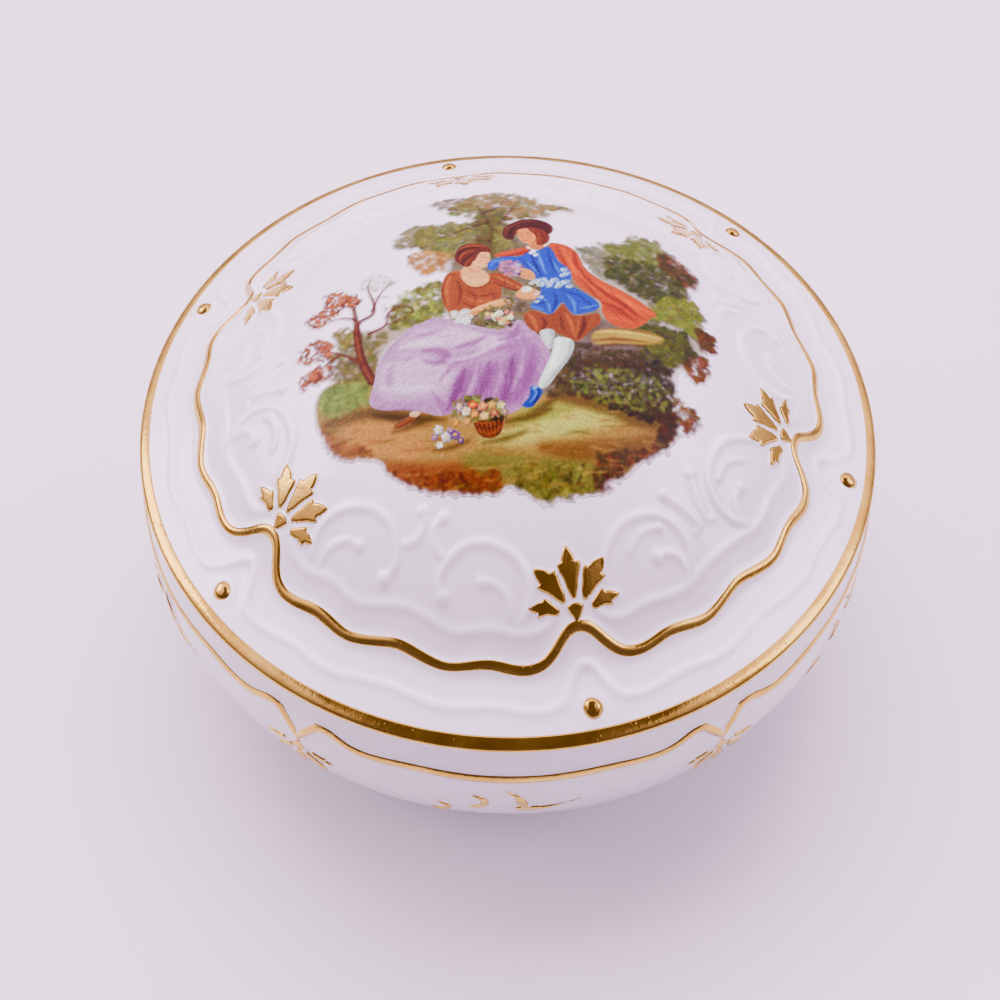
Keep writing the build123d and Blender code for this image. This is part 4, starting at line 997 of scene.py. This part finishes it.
def paint_posy_in_her_lap(folk):
    """Posy in her lap, basket and flowers on the ground."""
    folk.leaves("-4.2,0.2 -2.7,1.2 1.1,1.0 0.9,-1.5 -0.8,-3.2 -3.2,-2.6", 130, 0.6,
                [(70, 66, 40), (104, 100, 56), (140, 128, 80)], flat=0.6, strength=0.85)
    rng = np.random.default_rng(9)
    for area, count, size, tones in (("-3.8,0.2 -2.3,0.8 0.7,0.6 0.2,-1.5 -1.2,-2.7 -3.0,-2.0", 20, 0.55,
                                      [(214, 130, 140), (226, 190, 150), (232, 226, 222),
                                       (180, 130, 180)]),):
        shape = spots(area)
        for _ in range(count):
            while True:
                p = rng.uniform(shape.min(0), shape.max(0))
                if inside_by(p[:1], p[1:], shape)[0] > 0:
                    break
            folk.blossom(p[0], p[1], size * rng.uniform(0.75, 1.2), tones[rng.integers(len(tones))])
    folk.stroke("0.0,4.4 0.5,2.9 0.2,0.6", (0.3, 0.4, 0.3), (104, 92, 60), 0.8, 0.15, True)
    folk.leaves("-0.8,4.8 1.1,4.8 1.5,2.3 0.2,1.0 -0.6,2.7", 45, 0.5,
                [(92, 84, 50), (176, 120, 130), (140, 128, 80)], strength=0.8)
    folk.fill("-4.9,-18.2 -2.7,-17.8 -0.4,-17.4 -0.5,-19.0 -1.1,-20.3 -2.5,-20.9 -3.9,-20.4 -4.4,-19.4",
              (150, 82, 50), 0.1)
    for i in range(7):
        t = i / 6
        folk.stroke(np.array([(-4.7 + 4.0 * t, -18.2 + 0.75 * t),
                              (-3.6 + 2.5 * t, -20.4 + 0.2 * math.sin(t * 3))]), (0.12, 0.2, 0.12),
                              (96, 48, 30), 0.6, 0.1)
        folk.stroke(np.array([(-4.5 + 4.0 * t, -18.2 + 0.75 * t),
                              (-3.4 + 2.5 * t, -20.4 + 0.2 * math.sin(t * 3))]), (0.08, 0.14, 0.08),
                              (206, 136, 92), 0.5, 0.1)
    for t in (0.0, 0.33, 0.66, 1.0):
        folk.stroke(np.array([(-4.8 + 1.2 * t, -18.3 - 2.0 * t), (-2.4 + 0.2 * t, -18.5 - 2.3 * t),
                              (-0.6 - 0.4 * t, -17.5 - 2.2 * t)]),
                    (0.14, 0.2, 0.14), (190, 120, 78) if t in (0, 0.66) else (104, 52, 32), 0.6, 0.1)
    folk.leaves("-7.4,-15.6 -5.3,-14.5 -1.9,-14.7 0.0,-15.2 -0.2,-17.7 -2.7,-18.3 -5.7,-18.6 -7.4,-17.7",
                110, 0.65, [(74, 72, 40), (112, 110, 60), (150, 146, 92)], strength=0.85)
    for text, size, tone in (("-4.9,-15.7", 0.75, (214, 110, 72)), ("-3.5,-16.0", 0.8, (226, 150, 130)),
                             ("-2.2,-15.7", 0.7, (230, 180, 120)), ("-1.0,-15.8", 0.7, (222, 208, 180)),
                             ("-5.8,-16.7", 0.8, (236, 216, 220)), ("-4.6,-17.1", 0.7, (228, 160, 110)),
                             ("-3.2,-17.4", 0.75, (232, 190, 150)), ("-1.9,-16.9", 0.7, (200, 120, 120)),
                             ("-6.7,-16.0", 0.6, (214, 178, 196)), ("-5.6,-18.2", 0.65, (226, 170, 120)),
                             ("-7.1,-18.4", 0.7, (214, 150, 90)), ("-0.4,-16.7", 0.55, (190, 150, 170)),
                             ("-9.5,-19.3", 0.8, (222, 206, 230)), ("-8.4,-20.4", 0.85, (214, 196, 228)),
                             ("-10.0,-20.3", 0.6, (180, 130, 190)), ("-7.2,-20.1", 0.85, (150, 100, 170)),
                             ("-9.3,-21.5", 0.6, (228, 214, 236)), ("-6.4,-20.9", 0.6, (130, 86, 150)),
                             ("-7.9,-19.5", 0.55, (170, 120, 186))):
        px, py = spots(text)[0]
        folk.blossom(px, py, size, tone)


def paint_soft_shadows_on_the_ground(land):
    """Soft shadows on the ground."""
    for line, wide in (("-18.5,-16.4 -13.8,-17.5 -8.7,-17.9", 1.3), ("-0.2,-18.3 3.2,-17.3 5.8,-16.2", 1.2),
                       ("-3.2,-21.3 -0.2,-20.7 2.4,-19.6", 0.9),
                       ("3.6,-16.4 5.3,-15.4 6.6,-14.3", 1.0), ("-15.7,-19.2 -13.8,-18.8 -11.7,-18.3", 0.7),
                       ("-10.0,-22.2 -7.4,-21.9 -5.3,-21.1", 0.6)):
        land.stroke(line, (wide * 0.4, wide, wide * 0.4), (92, 66, 40), 0.6, 0.6)


def draw_scene():
    """The landscape, and the couple on a board of their own."""
    land, folk = Picture(seed=7), Picture(seed=11)
    paint_far_trees(land)
    paint_bush_on_the_right(land)
    paint_ground(land)
    paint_hedge_behind_the_legs(land)
    paint_log(land)
    paint_bushes_and_ochre_ground_behind_the_skirt(land)
    paint_bare_tree_on_the_left(land)
    paint_skirt(folk)
    paint_her_shoe(folk)
    paint_her_bodice(folk)
    paint_her_head(folk)
    paint_his_cape(folk)
    paint_his_coat(folk)
    paint_his_cuffs_and_hands(folk)
    paint_his_breeches(folk)
    paint_his_head(folk)
    paint_posy_in_her_lap(folk)
    paint_soft_shadows_on_the_ground(land)
    grain = np.random.default_rng(2)
    for board in (land, folk):
        small = grain.normal(0, 1, board.cover.shape)
        small = small + np.roll(small, 1, 0) + np.roll(small, 1, 1) + np.roll(small, (1, 1), (0, 1))
        board.colour *= (1 + 0.018 * small)[..., None]
        board.colour = np.clip(board.colour, 0, 1)
    return land, folk


# ------------------------------------------------------------------ materials
class Sock:
    """A value or link in a material, with maths written as an expression."""

    def __init__(self, tree, socket):
        self.tree, self.socket = tree, socket

    def node(self, kind, settings=None, inputs=None, out=0):
        made = self.tree.nodes.new(kind)
        for key, value in (settings or {}).items():
            setattr(made, key, value)
        for key, value in (inputs or {}).items():
            if isinstance(value, Sock):
                self.tree.links.new(value.socket, made.inputs[key])
            elif value is not None:
                made.inputs[key].default_value = value
        return Sock(self.tree, made.outputs[out])

    def maths(self, op, a, b=None):
        return self.node("ShaderNodeMath", {"operation": op}, {0: a, 1: b})

    def __add__(self, o):
        return self.maths("ADD", self, o)

    def __mul__(self, o):
        return self.maths("MULTIPLY", self, o)

    def __sub__(self, o):
        return self.maths("SUBTRACT", self, o)

    def __rsub__(self, o):
        return self.maths("SUBTRACT", o, self)

    def __truediv__(self, o):
        return self.maths("DIVIDE", self, o)

    __radd__, __rmul__ = __add__, __mul__

    def between(self, lo, hi, a=0.0, b=1.0):
        """This value stretched from lo..hi to a..b, and held there."""
        return self.node("ShaderNodeMapRange", {"interpolation_type": "SMOOTHSTEP"},
                         {0: self, 1: lo, 2: hi, 3: a, 4: b})

    def mix(self, a, b):
        """Colour a where this is 0, b where it is 1."""
        return self.node("ShaderNodeMix", {"data_type": "RGBA"}, {0: self, 6: a, 7: b}, out=2)


def finish_of(name, **fixed):
    """A new material: its maker and its shader, with the constant values set."""
    mat = bpy.data.materials.new(name)
    mat.use_nodes = True
    tree = mat.node_tree
    shader = tree.nodes["Principled BSDF"]
    for key, value in fixed.items():
        shader.inputs[key.replace("_", " ")].default_value = value
    start = Sock(tree, tree.nodes.new("ShaderNodeTexCoord").outputs["Object"])

    def feed(**links):
        for key, value in links.items():
            tree.links.new(value.socket, shader.inputs[key.replace("_", " ")])

    return mat, start, feed


def noise(start, scale, detail=2.0, rough=0.5):
    return start.node("ShaderNodeTexNoise", {}, {"Vector": start, "Scale": scale, "Detail": detail,
            "Roughness": rough})


def cells(start, scale):
    return start.node("ShaderNodeTexVoronoi", {"feature": "F1"}, {"Vector": start, "Scale": scale})


GLAZE = (0.84, 0.82, 0.86)


def porcelain_finish():
    mat, here, feed = finish_of("glazed_porcelain", Roughness=0.30, Coat_Weight=1.0, Coat_Roughness=0.035,
                                Coat_IOR=1.5,
                                Subsurface_Weight=0.10, Subsurface_Scale=0.0015)
    raised = here.node("ShaderNodeAttribute", {"attribute_name": "raised"}, {}, out=2)
    cloud = noise(here, 38.0, 4.0)
    body = cloud.between(0.3, 0.7).mix(tuple(0.985 * g for g in GLAZE) + (1,),
                                       tuple(1.015 * g for g in GLAZE) + (1,))
    body = raised.between(0.05, 0.45).mix(body, (0.92, 0.905, 0.935, 1))
    speck = cells(here, 95.0)
    speck = speck.between(0.0, 0.014, 1.0, 0.0) * noise(here, 21.0).between(0.60, 0.66)
    body = speck.mix(body, (0.23, 0.20, 0.19, 1))
    feed(Base_Color=body, Roughness=cloud.between(0.2, 0.8, 0.24, 0.38))
    ripple = noise(here, 240.0, 2.0) + noise(here, 60.0, 1.0) * 2.0
    feed(Normal=here.node("ShaderNodeBump", {}, {"Strength": 0.10, "Distance": 0.0004, "Height": ripple}))
    return mat


def gold_finish():
    mat, here, feed = finish_of("burnished_gold", Metallic=1.0, IOR=1.45)
    cloud = noise(here, 160.0, 5.0, 0.6)
    pits = cells(here, 1500.0).between(0.10, 0.24, 1.0, 0.0) * noise(here, 330.0, 3.0).between(0.50, 0.66)
    tone = cloud.between(0.35, 0.65).mix((0.56, 0.36, 0.055, 1), (0.68, 0.47, 0.085, 1))
    tone = pits.mix(tone, (0.16, 0.085, 0.03, 1))
    feed(Base_Color=tone, Roughness=cloud.between(0.2, 0.8, 0.09, 0.21) + pits * 0.35)
    brush = noise(here, 900.0, 3.0, 0.65) + cloud * 2.0
    feed(Normal=here.node("ShaderNodeBump", {}, {"Strength": 0.22, "Distance": 0.00015,
            "Height": brush - pits * 1.5}))
    return mat


def print_finish():
    mat, here, feed = finish_of("fired_print", Specular_IOR_Level=0.12)
    pigment = here.node("ShaderNodeAttribute", {"attribute_name": "pigment"})
    fine = noise(here, 2600.0, 2.0, 0.6)
    tint = fine.between(0.35, 0.65).mix((0.90, 0.89, 0.88, 1), (1.06, 1.06, 1.06, 1))
    feed(Base_Color=here.node("ShaderNodeMix", {"data_type": "RGBA", "blend_type": "MULTIPLY"},
                              {0: 1.0, 6: pigment, 7: tint}, out=2),
         Roughness=fine.between(0.2, 0.8, 0.25, 0.37))
    feed(Normal=here.node("ShaderNodeBump", {}, {"Strength": 0.08, "Distance": 0.0001, "Height": fine}))
    return mat


porcelain, gold = porcelain_finish(), gold_finish()

# ------------------------------------------------------------------ lid
SEG = 768
ang = np.arange(SEG) * 2 * math.pi / SEG
ca, sa = np.cos(ang), np.sin(ang)


def level_ring(r, z):
    """Points once round the axis at one height."""
    return np.stack([r * ca, r * sa, np.full(SEG, z)], 1)


def on_axis(z):
    return np.array([[0, 0, z]])


def lid_shell():
    radii = np.concatenate([np.linspace(1.2, 28.8, 13), np.linspace(30.0, 56.4, 76)])
    rings, raised = [], []
    for r in radii:
        x, y = r * ca, r * sa
        rel = lid_relief(x, y)
        rings.append(np.stack([x, y, EDGE + crown_line(r) + rel], 1))
        raised.append(rel)
    under = curve_through([0, 9, 19, 28, 35, 40, 44, 47, 49.3],
                          [CROWN - LID_WALL, CROWN - 3.75, CROWN - 5.3, CROWN - 8.2, 8.65, 5.3, 2.1, -0.2,
                           -1.1], (0, None))
    edge_profile = [(57.0, 0.05), (57.32, -0.08), (57.47, -0.35), (57.5, -0.7), (57.5, -1.4), (57.36, -1.86),
                    (57.0, -2.0),
                    (54.5, -2.0), (51.9, -2.0), (51.9, -3.0), (51.9, -5.4), (51.6, -6.1), (51.0, -6.5),
                    (50.2, -6.5),
                    (49.6, -6.1), (49.3, -5.4), (49.3, -3.0), (49.3, -1.1)]
    edge_profile += [(r, float(under(r))) for r in (47.5, 45, 42, 38, 33, 27, 20, 12, 5)]
    for r, z in edge_profile:
        rings.append(level_ring(r, EDGE + z))
        raised.append(np.zeros(SEG))
    n = len(rings)
    pts = np.concatenate(rings + [on_axis(float(lid_top(0.0, 0.0))), on_axis(EDGE + CROWN - LID_WALL)])
    vals = np.concatenate(raised + [np.zeros(2)])
    piece("lid_shell", pts, ring_faces(n, SEG, True, True), "lid", ["lid_porcelain"], porcelain,
          {"raised": vals})


def lid_rim_band():
    band = []
    for r, dz in ((55.75, -0.10), (55.78, 0.02), (56.0, 0.06), (56.5, 0.07), (56.9, 0.07)):
        band.append(np.stack([r * ca, r * sa, lid_top(r * ca, r * sa) + dz], 1))
    for r, z in ((57.15, 0.06), (57.35, -0.075), (57.50, -0.32), (57.545, -0.45), (57.50, -0.58),
                 (57.3, -0.6),
                 (56.2, -0.5), (55.9, 0.0)):
        band.append(level_ring(r, EDGE + z))
    piece("lid_rim_band", np.concatenate(band), tube_faces(len(band), SEG), "lid", ["lid_rim_gilding"],
          gold)


def lid_wave_line():
    across = np.linspace(-1, 1, 11)
    steps = 6 * 150
    th = np.arange(steps) / steps * 360
    c = ROOT_R + gold_wave(np.mod(th, 60))
    k = (gold_wave(np.mod(th + 0.3, 60)) - gold_wave(np.mod(th - 0.3, 60))) / (math.radians(0.6) * c)
    wob = 1 + 0.10 * np.sin(np.radians(th * 7) + 1) + 0.06 * np.sin(np.radians(th * 23))
    half_w = 0.66 * wob
    strip = []
    for q in across:
        rr = c + q * half_w / np.sqrt(1 + k * k)
        tt = np.radians(th) + TURN - q * half_w * k / np.sqrt(1 + k * k) / c
        x, y = rr * np.cos(tt), rr * np.sin(tt)
        strip.append(np.stack([x, y, lid_top(x, y) + 0.07 * math.sqrt(max(0, 1 - q * q)) - 0.01], 1))
    low = [s - np.array([0, 0, 0.25]) for s in (strip[-1], strip[0])]
    loops = strip + low
    piece("lid_wave_line", np.concatenate(loops), tube_faces(len(loops), steps), "lid", ["lid_wave_gilding"],
          gold)


def on_lid(u, w, lift, k):
    """Across and inward from the palmette root of sixth k."""
    a = TURN + k * SIXTH
    x = (ROOT_R - w) * math.cos(a) - u * math.sin(a)
    y = (ROOT_R - w) * math.sin(a) + u * math.cos(a)
    return np.stack([x, y, lid_top(x, y) + lift], 1)


def lid_palmette_gold():
    pts, faces = shaped_patches(0.13, LEAVES, on_lid, range(6))
    thicken(piece("lid_palmette_gold", pts, faces, "lid", ["lid_palmettes"], gold), 0.2)


def lid_bead_gold():
    pts, faces = [], []
    for k in range(6):
        a = TURN + k * SIXTH
        bx, by = BEAD_R * math.cos(a), BEAD_R * math.sin(a)
        rng = np.random.default_rng(40 + k)
        seg = 32
        t = np.arange(seg) * 2 * math.pi / seg
        rows = []
        for rad, h in ((0.25, 0.80), (0.55, 0.74), (0.85, 0.62), (1.1, 0.44), (1.28, 0.22), (1.36, 0.0),
                       (1.34, -0.3)):
            rr = rad * (1 + 0.04 * np.sin(2 * t + rng.uniform(0, 6))
                        + 0.03 * np.sin(3 * t + rng.uniform(0, 6)))
            x, y = bx + rr * np.cos(t), by + rr * np.sin(t)
            z = EDGE + crown_line(np.hypot(x, y)) + h - (0.10 if rad < 0.5 else 0) * rng.uniform(0, 1)
            rows.append(np.stack([x, y, z], 1))
        rows.append(np.array([[bx, by, EDGE + float(crown_line(math.hypot(bx, by))) + 0.80]]))
        rows.append(np.array([[bx, by, EDGE + float(crown_line(math.hypot(bx, by))) - 0.3]]))
        faces += ring_faces(7, seg, True, True, first=sum(len(p) for p in pts))
        pts.append(np.concatenate(rows))
    piece("lid_bead_gold", np.concatenate(pts), faces, "lid", ["lid_beads"], gold)


# the fired print: the landscape, and the couple on a finer layer over it
def in_pigment(colour):
    """Pigment that gives a colour on the glazed crown in studio light."""
    c = np.clip(colour, 0.004, 1) ** 2.2
    light = (c @ np.array([0.3, 0.5, 0.2]))[..., None]
    return np.clip(np.array([0.745, 1.12, 0.683]) * light ** 1.75 * (c / light) ** np.array([1.72, 1.5,
            1.7]), 0.002, 0.95)


def board_place(x, y):
    """Place on the drawing board of a point of the crown: the print is fired a little low and small."""
    u, v = x + 0.26, y + 1.42
    return u * 1.0262 + v * 0.0144, v * 1.0509 + u * 0.0010


def printed(name, board, under, step, lift, nodes):
    """A thin fired layer where the board is covered, coloured point by point."""
    reach = board.reach - 0.5
    n = int(2 * reach / step) + 1
    x, y = np.meshgrid(np.linspace(-reach, reach, n), np.linspace(-reach, reach, n), indexing="ij")
    bx, by = board_place(x, y)
    edge = board.reach - board.step * 1.5
    fx = (np.clip(bx, -edge, edge) + board.reach) / board.step
    fy = (np.clip(by, -edge, edge) + board.reach) / board.step
    i, j = fx.astype(int), fy.astype(int)

    def read(grid):
        tx, ty = fx - i, fy - j
        if grid.ndim == 3:
            tx, ty = tx[..., None], ty[..., None]
        return (grid[i, j] * (1 - tx) + grid[i + 1, j] * tx) * (1 - ty) \
            + (grid[i, j + 1] * (1 - tx) + grid[i + 1, j + 1] * tx) * ty

    cover = read(board.cover)
    pigment = read(in_pigment(board.colour))
    ground = np.array(GLAZE)[None, None, :] * np.ones_like(pigment)
    if under is not None:
        m = read(under.cover)[..., None]
        ground = ground * (1 - m) + read(in_pigment(under.colour)) * m
    colour = ground * (1 - cover[..., None]) + pigment * cover[..., None]
    on = cover > 0.28
    full = on[:-1, :-1] | on[1:, :-1] | on[1:, 1:] | on[:-1, 1:]
    a, b = np.nonzero(full)
    quads = np.stack([a * n + b, (a + 1) * n + b, (a + 1) * n + b + 1, a * n + b + 1], 1)
    used, inv = np.unique(quads, return_inverse=True)
    px, py = x.ravel()[used], y.ravel()[used]
    high = 0.015 + (lift - 0.015) * np.clip(cover.ravel()[used] * 1.4, 0, 1)
    points = np.stack([px, py, lid_top(px, py) + high], 1)
    col = np.concatenate([colour.reshape(-1, 3)[used], np.ones((len(used), 1))], 1)
    obj = piece(name, points, inv.reshape(quads.shape), "lid", nodes, print_finish(),
                {"pigment": col})
    uv = obj.data.uv_layers.new(name="OFBake")
    loops = np.empty(len(obj.data.loops), np.int32)
    obj.data.loops.foreach_get("vertex_index", loops)
    low, size = points[:, :2].min(0), np.ptp(points[:, :2], axis=0).max()
    uv.data.foreach_set("uv", ((points[loops, :2] - low) / size * 0.98 + 0.01).ravel())
    return thicken(obj, 0.03)


# ------------------------------------------------------------------ base

def base_shell():
    zs = np.concatenate([np.linspace(40.6, 22.0, 74), np.linspace(21.2, 2.6, 26)])
    inner = [(6, 5.4), (14, 5.4), (22, 5.4), (29, 5.42), (34.5, 5.7), (39.5, 6.5), (43.5, 7.6), (47.5, 9.6),
             (51.0, 12.6),
             (54.0, 17.0), (55.9, 21.5), (56.7, 26.0), (56.3, 29.5), (54.9, 32.6), (53.3, 34.8), (52.5, 36.2),
             (52.5, 38.5),
             (52.5, 40.2), (52.68, 40.7), (53.1, 40.95), (53.8, 41.0), (55.3, 41.0), (56.1, 40.95),
             (56.5, 40.8)]
    rings = [level_ring(r, z) for r, z in inner]
    raised = [np.zeros(SEG) for _ in inner]
    for z in zs:
        rel = base_relief(ang, np.full(SEG, z))
        r = float(wall_line(z)) + rel
        rings.append(level_ring(r, z))
        raised.append(rel)
    for r, z in ((39.4, 1.9), (38.6, 1.4), (38.3, 0.6), (37.9, 0.12), (37.4, 0.0), (36.0, 0.0), (35.5, 0.12),
                 (35.2, 0.6),
                 (34.8, 1.4), (34.0, 1.8), (28, 1.8), (18, 1.8), (8, 1.8)):
        rings.append(level_ring(r, z))
        raised.append(np.zeros(SEG))
    pts = np.concatenate(rings + [on_axis(FLOOR_TOP), on_axis(FOOT_HEIGHT)])
    piece("base_shell", pts, ring_faces(len(rings), SEG, True, True), "base", ["base_porcelain"],
          porcelain,
          {"raised": np.concatenate(raised + [np.zeros(2)])})


def on_base(u, w, lift, spot):
    """Across and down the belly from a place given as turn and drop below the rim."""
    az = spot[0] + u / BELLY_R
    z = RIM - spot[1] - w
    r = wall_line(z) + base_relief(az, z) + lift
    return np.stack([r * np.cos(az), r * np.sin(az), z], 1)


def base_kinked_line():
    steps = 6 * 160
    th = np.arange(steps) / steps * 360 - 30
    off = np.mod(th + 30, 60) - 30
    mid = kinked(off)
    slope = (kinked(np.mod(th + 30.2, 60) - 30) - kinked(np.mod(th + 29.8,
            60) - 30)) / (math.radians(0.4) * BELLY_R)
    slope = np.clip(slope, -1.6, 1.6)
    az = np.radians(th) + BASE_TURN
    strip = []
    for q in np.linspace(-1, 1, 9):
        dz = q * 0.74 * np.sqrt(1 + slope * slope) * (1 + 0.08 * np.sin(np.radians(th * 9)))
        z = RIM - mid + dz
        r = wall_line(z) + base_relief(az, z) + 0.06 * math.sqrt(max(0, 1 - q * q)) - 0.005
        strip.append(np.stack([r * np.cos(az), r * np.sin(az), z], 1))
    inward = [s * np.array([0.9965, 0.9965, 1.0]) for s in (strip[-1], strip[0])]
    loops = (strip + inward)[::-1]
    piece("base_kinked_line", np.concatenate(loops), tube_faces(len(loops), steps), "base",
          ["base_line_gilding"], gold)


def base_gilding():
    places = [(BASE_TURN + k * SIXTH, POINT + 0.9) for k in range(6)]
    pts, faces = shaped_patches(0.16, HANGING, on_base, places)
    thicken(piece("base_palmette_gold", pts, faces[:, ::-1], "base", ["base_palmettes"], gold), 0.2)
    places = [(BASE_TURN + (k + 0.5) * SIXTH, SPRAY_DROP) for k in range(6)]
    pts, faces = shaped_patches(0.16, SPRAY_SHAPES, on_base, places)
    thicken(piece("base_spray_gold", pts, faces[:, ::-1], "base", ["base_sprays"], gold), 0.2)


# ------------------------------------------------------------------ floor, light and camera

def table_top():
    floor_mesh = bpy.data.meshes.new("table_top")
    floor_mesh.from_pydata([(-6, -6, 0), (6, -6, 0), (6, 6, 0), (-6, 6, 0)], [], [(0, 1, 2, 3)])
    floor = bpy.data.objects.new("table_top", floor_mesh)
    bpy.context.scene.collection.objects.link(floor)
    mat, here, feed = finish_of("pale_table", Roughness=0.55, Specular_IOR_Level=0.35)
    feed(Base_Color=noise(here, 6.0, 3.0).between(0.3, 0.7).mix((0.78, 0.76, 0.79, 1), (0.81, 0.79, 0.82, 1)))
    floor_mesh.materials.append(mat)


def room_light():
    world = bpy.data.worlds.new("room")
    bpy.context.scene.world = world
    world.use_nodes = True
    tree = world.node_tree
    here = Sock(tree, tree.nodes.new("ShaderNodeTexCoord").outputs["Generated"])

    def toward(direction):
        """How squarely each direction of the room faces this one, -1 to 1."""
        v = Vector(direction).normalized()
        return here.node("ShaderNodeVectorMath", {"operation": "DOT_PRODUCT"}, {0: here, 1: tuple(v)}, out=1)

    # a soft dark shape from overhead to the front, bright room all round
    side = toward((1.0, 0.0, 0.0))
    back = toward((0.0, 1.0, 0.0))
    up = toward((0.0, 0.0, 1.0))
    wide = (side * side).between(0.10, 0.20, 1.0, 0.0)
    dark = wide * back.between(0.24, 0.36, 1.0, 0.0) * up.between(0.40, 0.56)
    glow = up.between(0.10, 0.70).mix((0.60, 0.41, 0.60, 1), (2.9, 2.0, 2.9, 1))
    glow = back.between(-0.75, 0.25).mix((0.22, 0.145, 0.21, 1), glow)
    glow = dark.mix(glow, (0.20, 0.12, 0.075, 1))
    background = tree.nodes["Background"]
    tree.links.new(glow.socket, background.inputs["Color"])
    background.inputs["Strength"].default_value = 1.0


def lamp(name, place, aim, size, power, colour=(1, 1, 1), shine=True):
    data = bpy.data.lights.new(name, "AREA")
    data.shape, data.size, data.size_y = "RECTANGLE", size[0], size[1]
    data.energy, data.color = power, colour
    obj = bpy.data.objects.new(name, data)
    bpy.context.scene.collection.objects.link(obj)
    obj.location = place
    obj.visible_glossy = shine
    obj.rotation_euler = (Vector(place) - Vector(aim)).to_track_quat("Z", "Y").to_euler()
    return obj


def lamps():
    lamp("window_behind", (-0.12, 0.70, 1.12), (0, 0, 0.03), (1.2, 0.8), 45.0, (1.0, 0.72, 0.98), shine=False)
    lamp("window_left", (-0.80, 0.20, 0.60), (0, 0, 0.03), (0.5, 0.5), 5.0, (1.0, 0.78, 0.92))
    lamp("window_right", (0.70, -0.05, 0.60), (0, 0, 0.03), (0.4, 0.5), 2.5, (0.90, 0.78, 1.0))


def view():
    camera = bpy.data.objects.new("camera", bpy.data.cameras.new("camera"))
    bpy.context.scene.collection.objects.link(camera)
    bpy.context.scene.camera = camera
    camera.data.sensor_width = 36.0
    camera.data.lens = 35.83
    camera.data.clip_start = 0.005
    place = Vector((-0.15, -97.6, EDGE + 125.4)) * 0.001
    aim = Vector((-0.90, -19.6, EDGE)) * 0.001
    turn = (aim - place).to_track_quat("-Z", "Y").to_matrix().to_4x4()
    camera.matrix_world = Matrix.Translation(place) @ turn @ Matrix.Rotation(math.radians(0.81), 4, "Z")


lid_shell()
lid_rim_band()
lid_wave_line()
lid_palmette_gold()
lid_bead_gold()
land, folk = draw_scene()
printed("scene_landscape", land, None, 0.19, 0.05, ["scene_transfer"])
printed("scene_couple", folk, land, 0.13, 0.07, [])
base_shell()
base_kinked_line()
base_gilding()
table_top()
room_light()
lamps()
view()
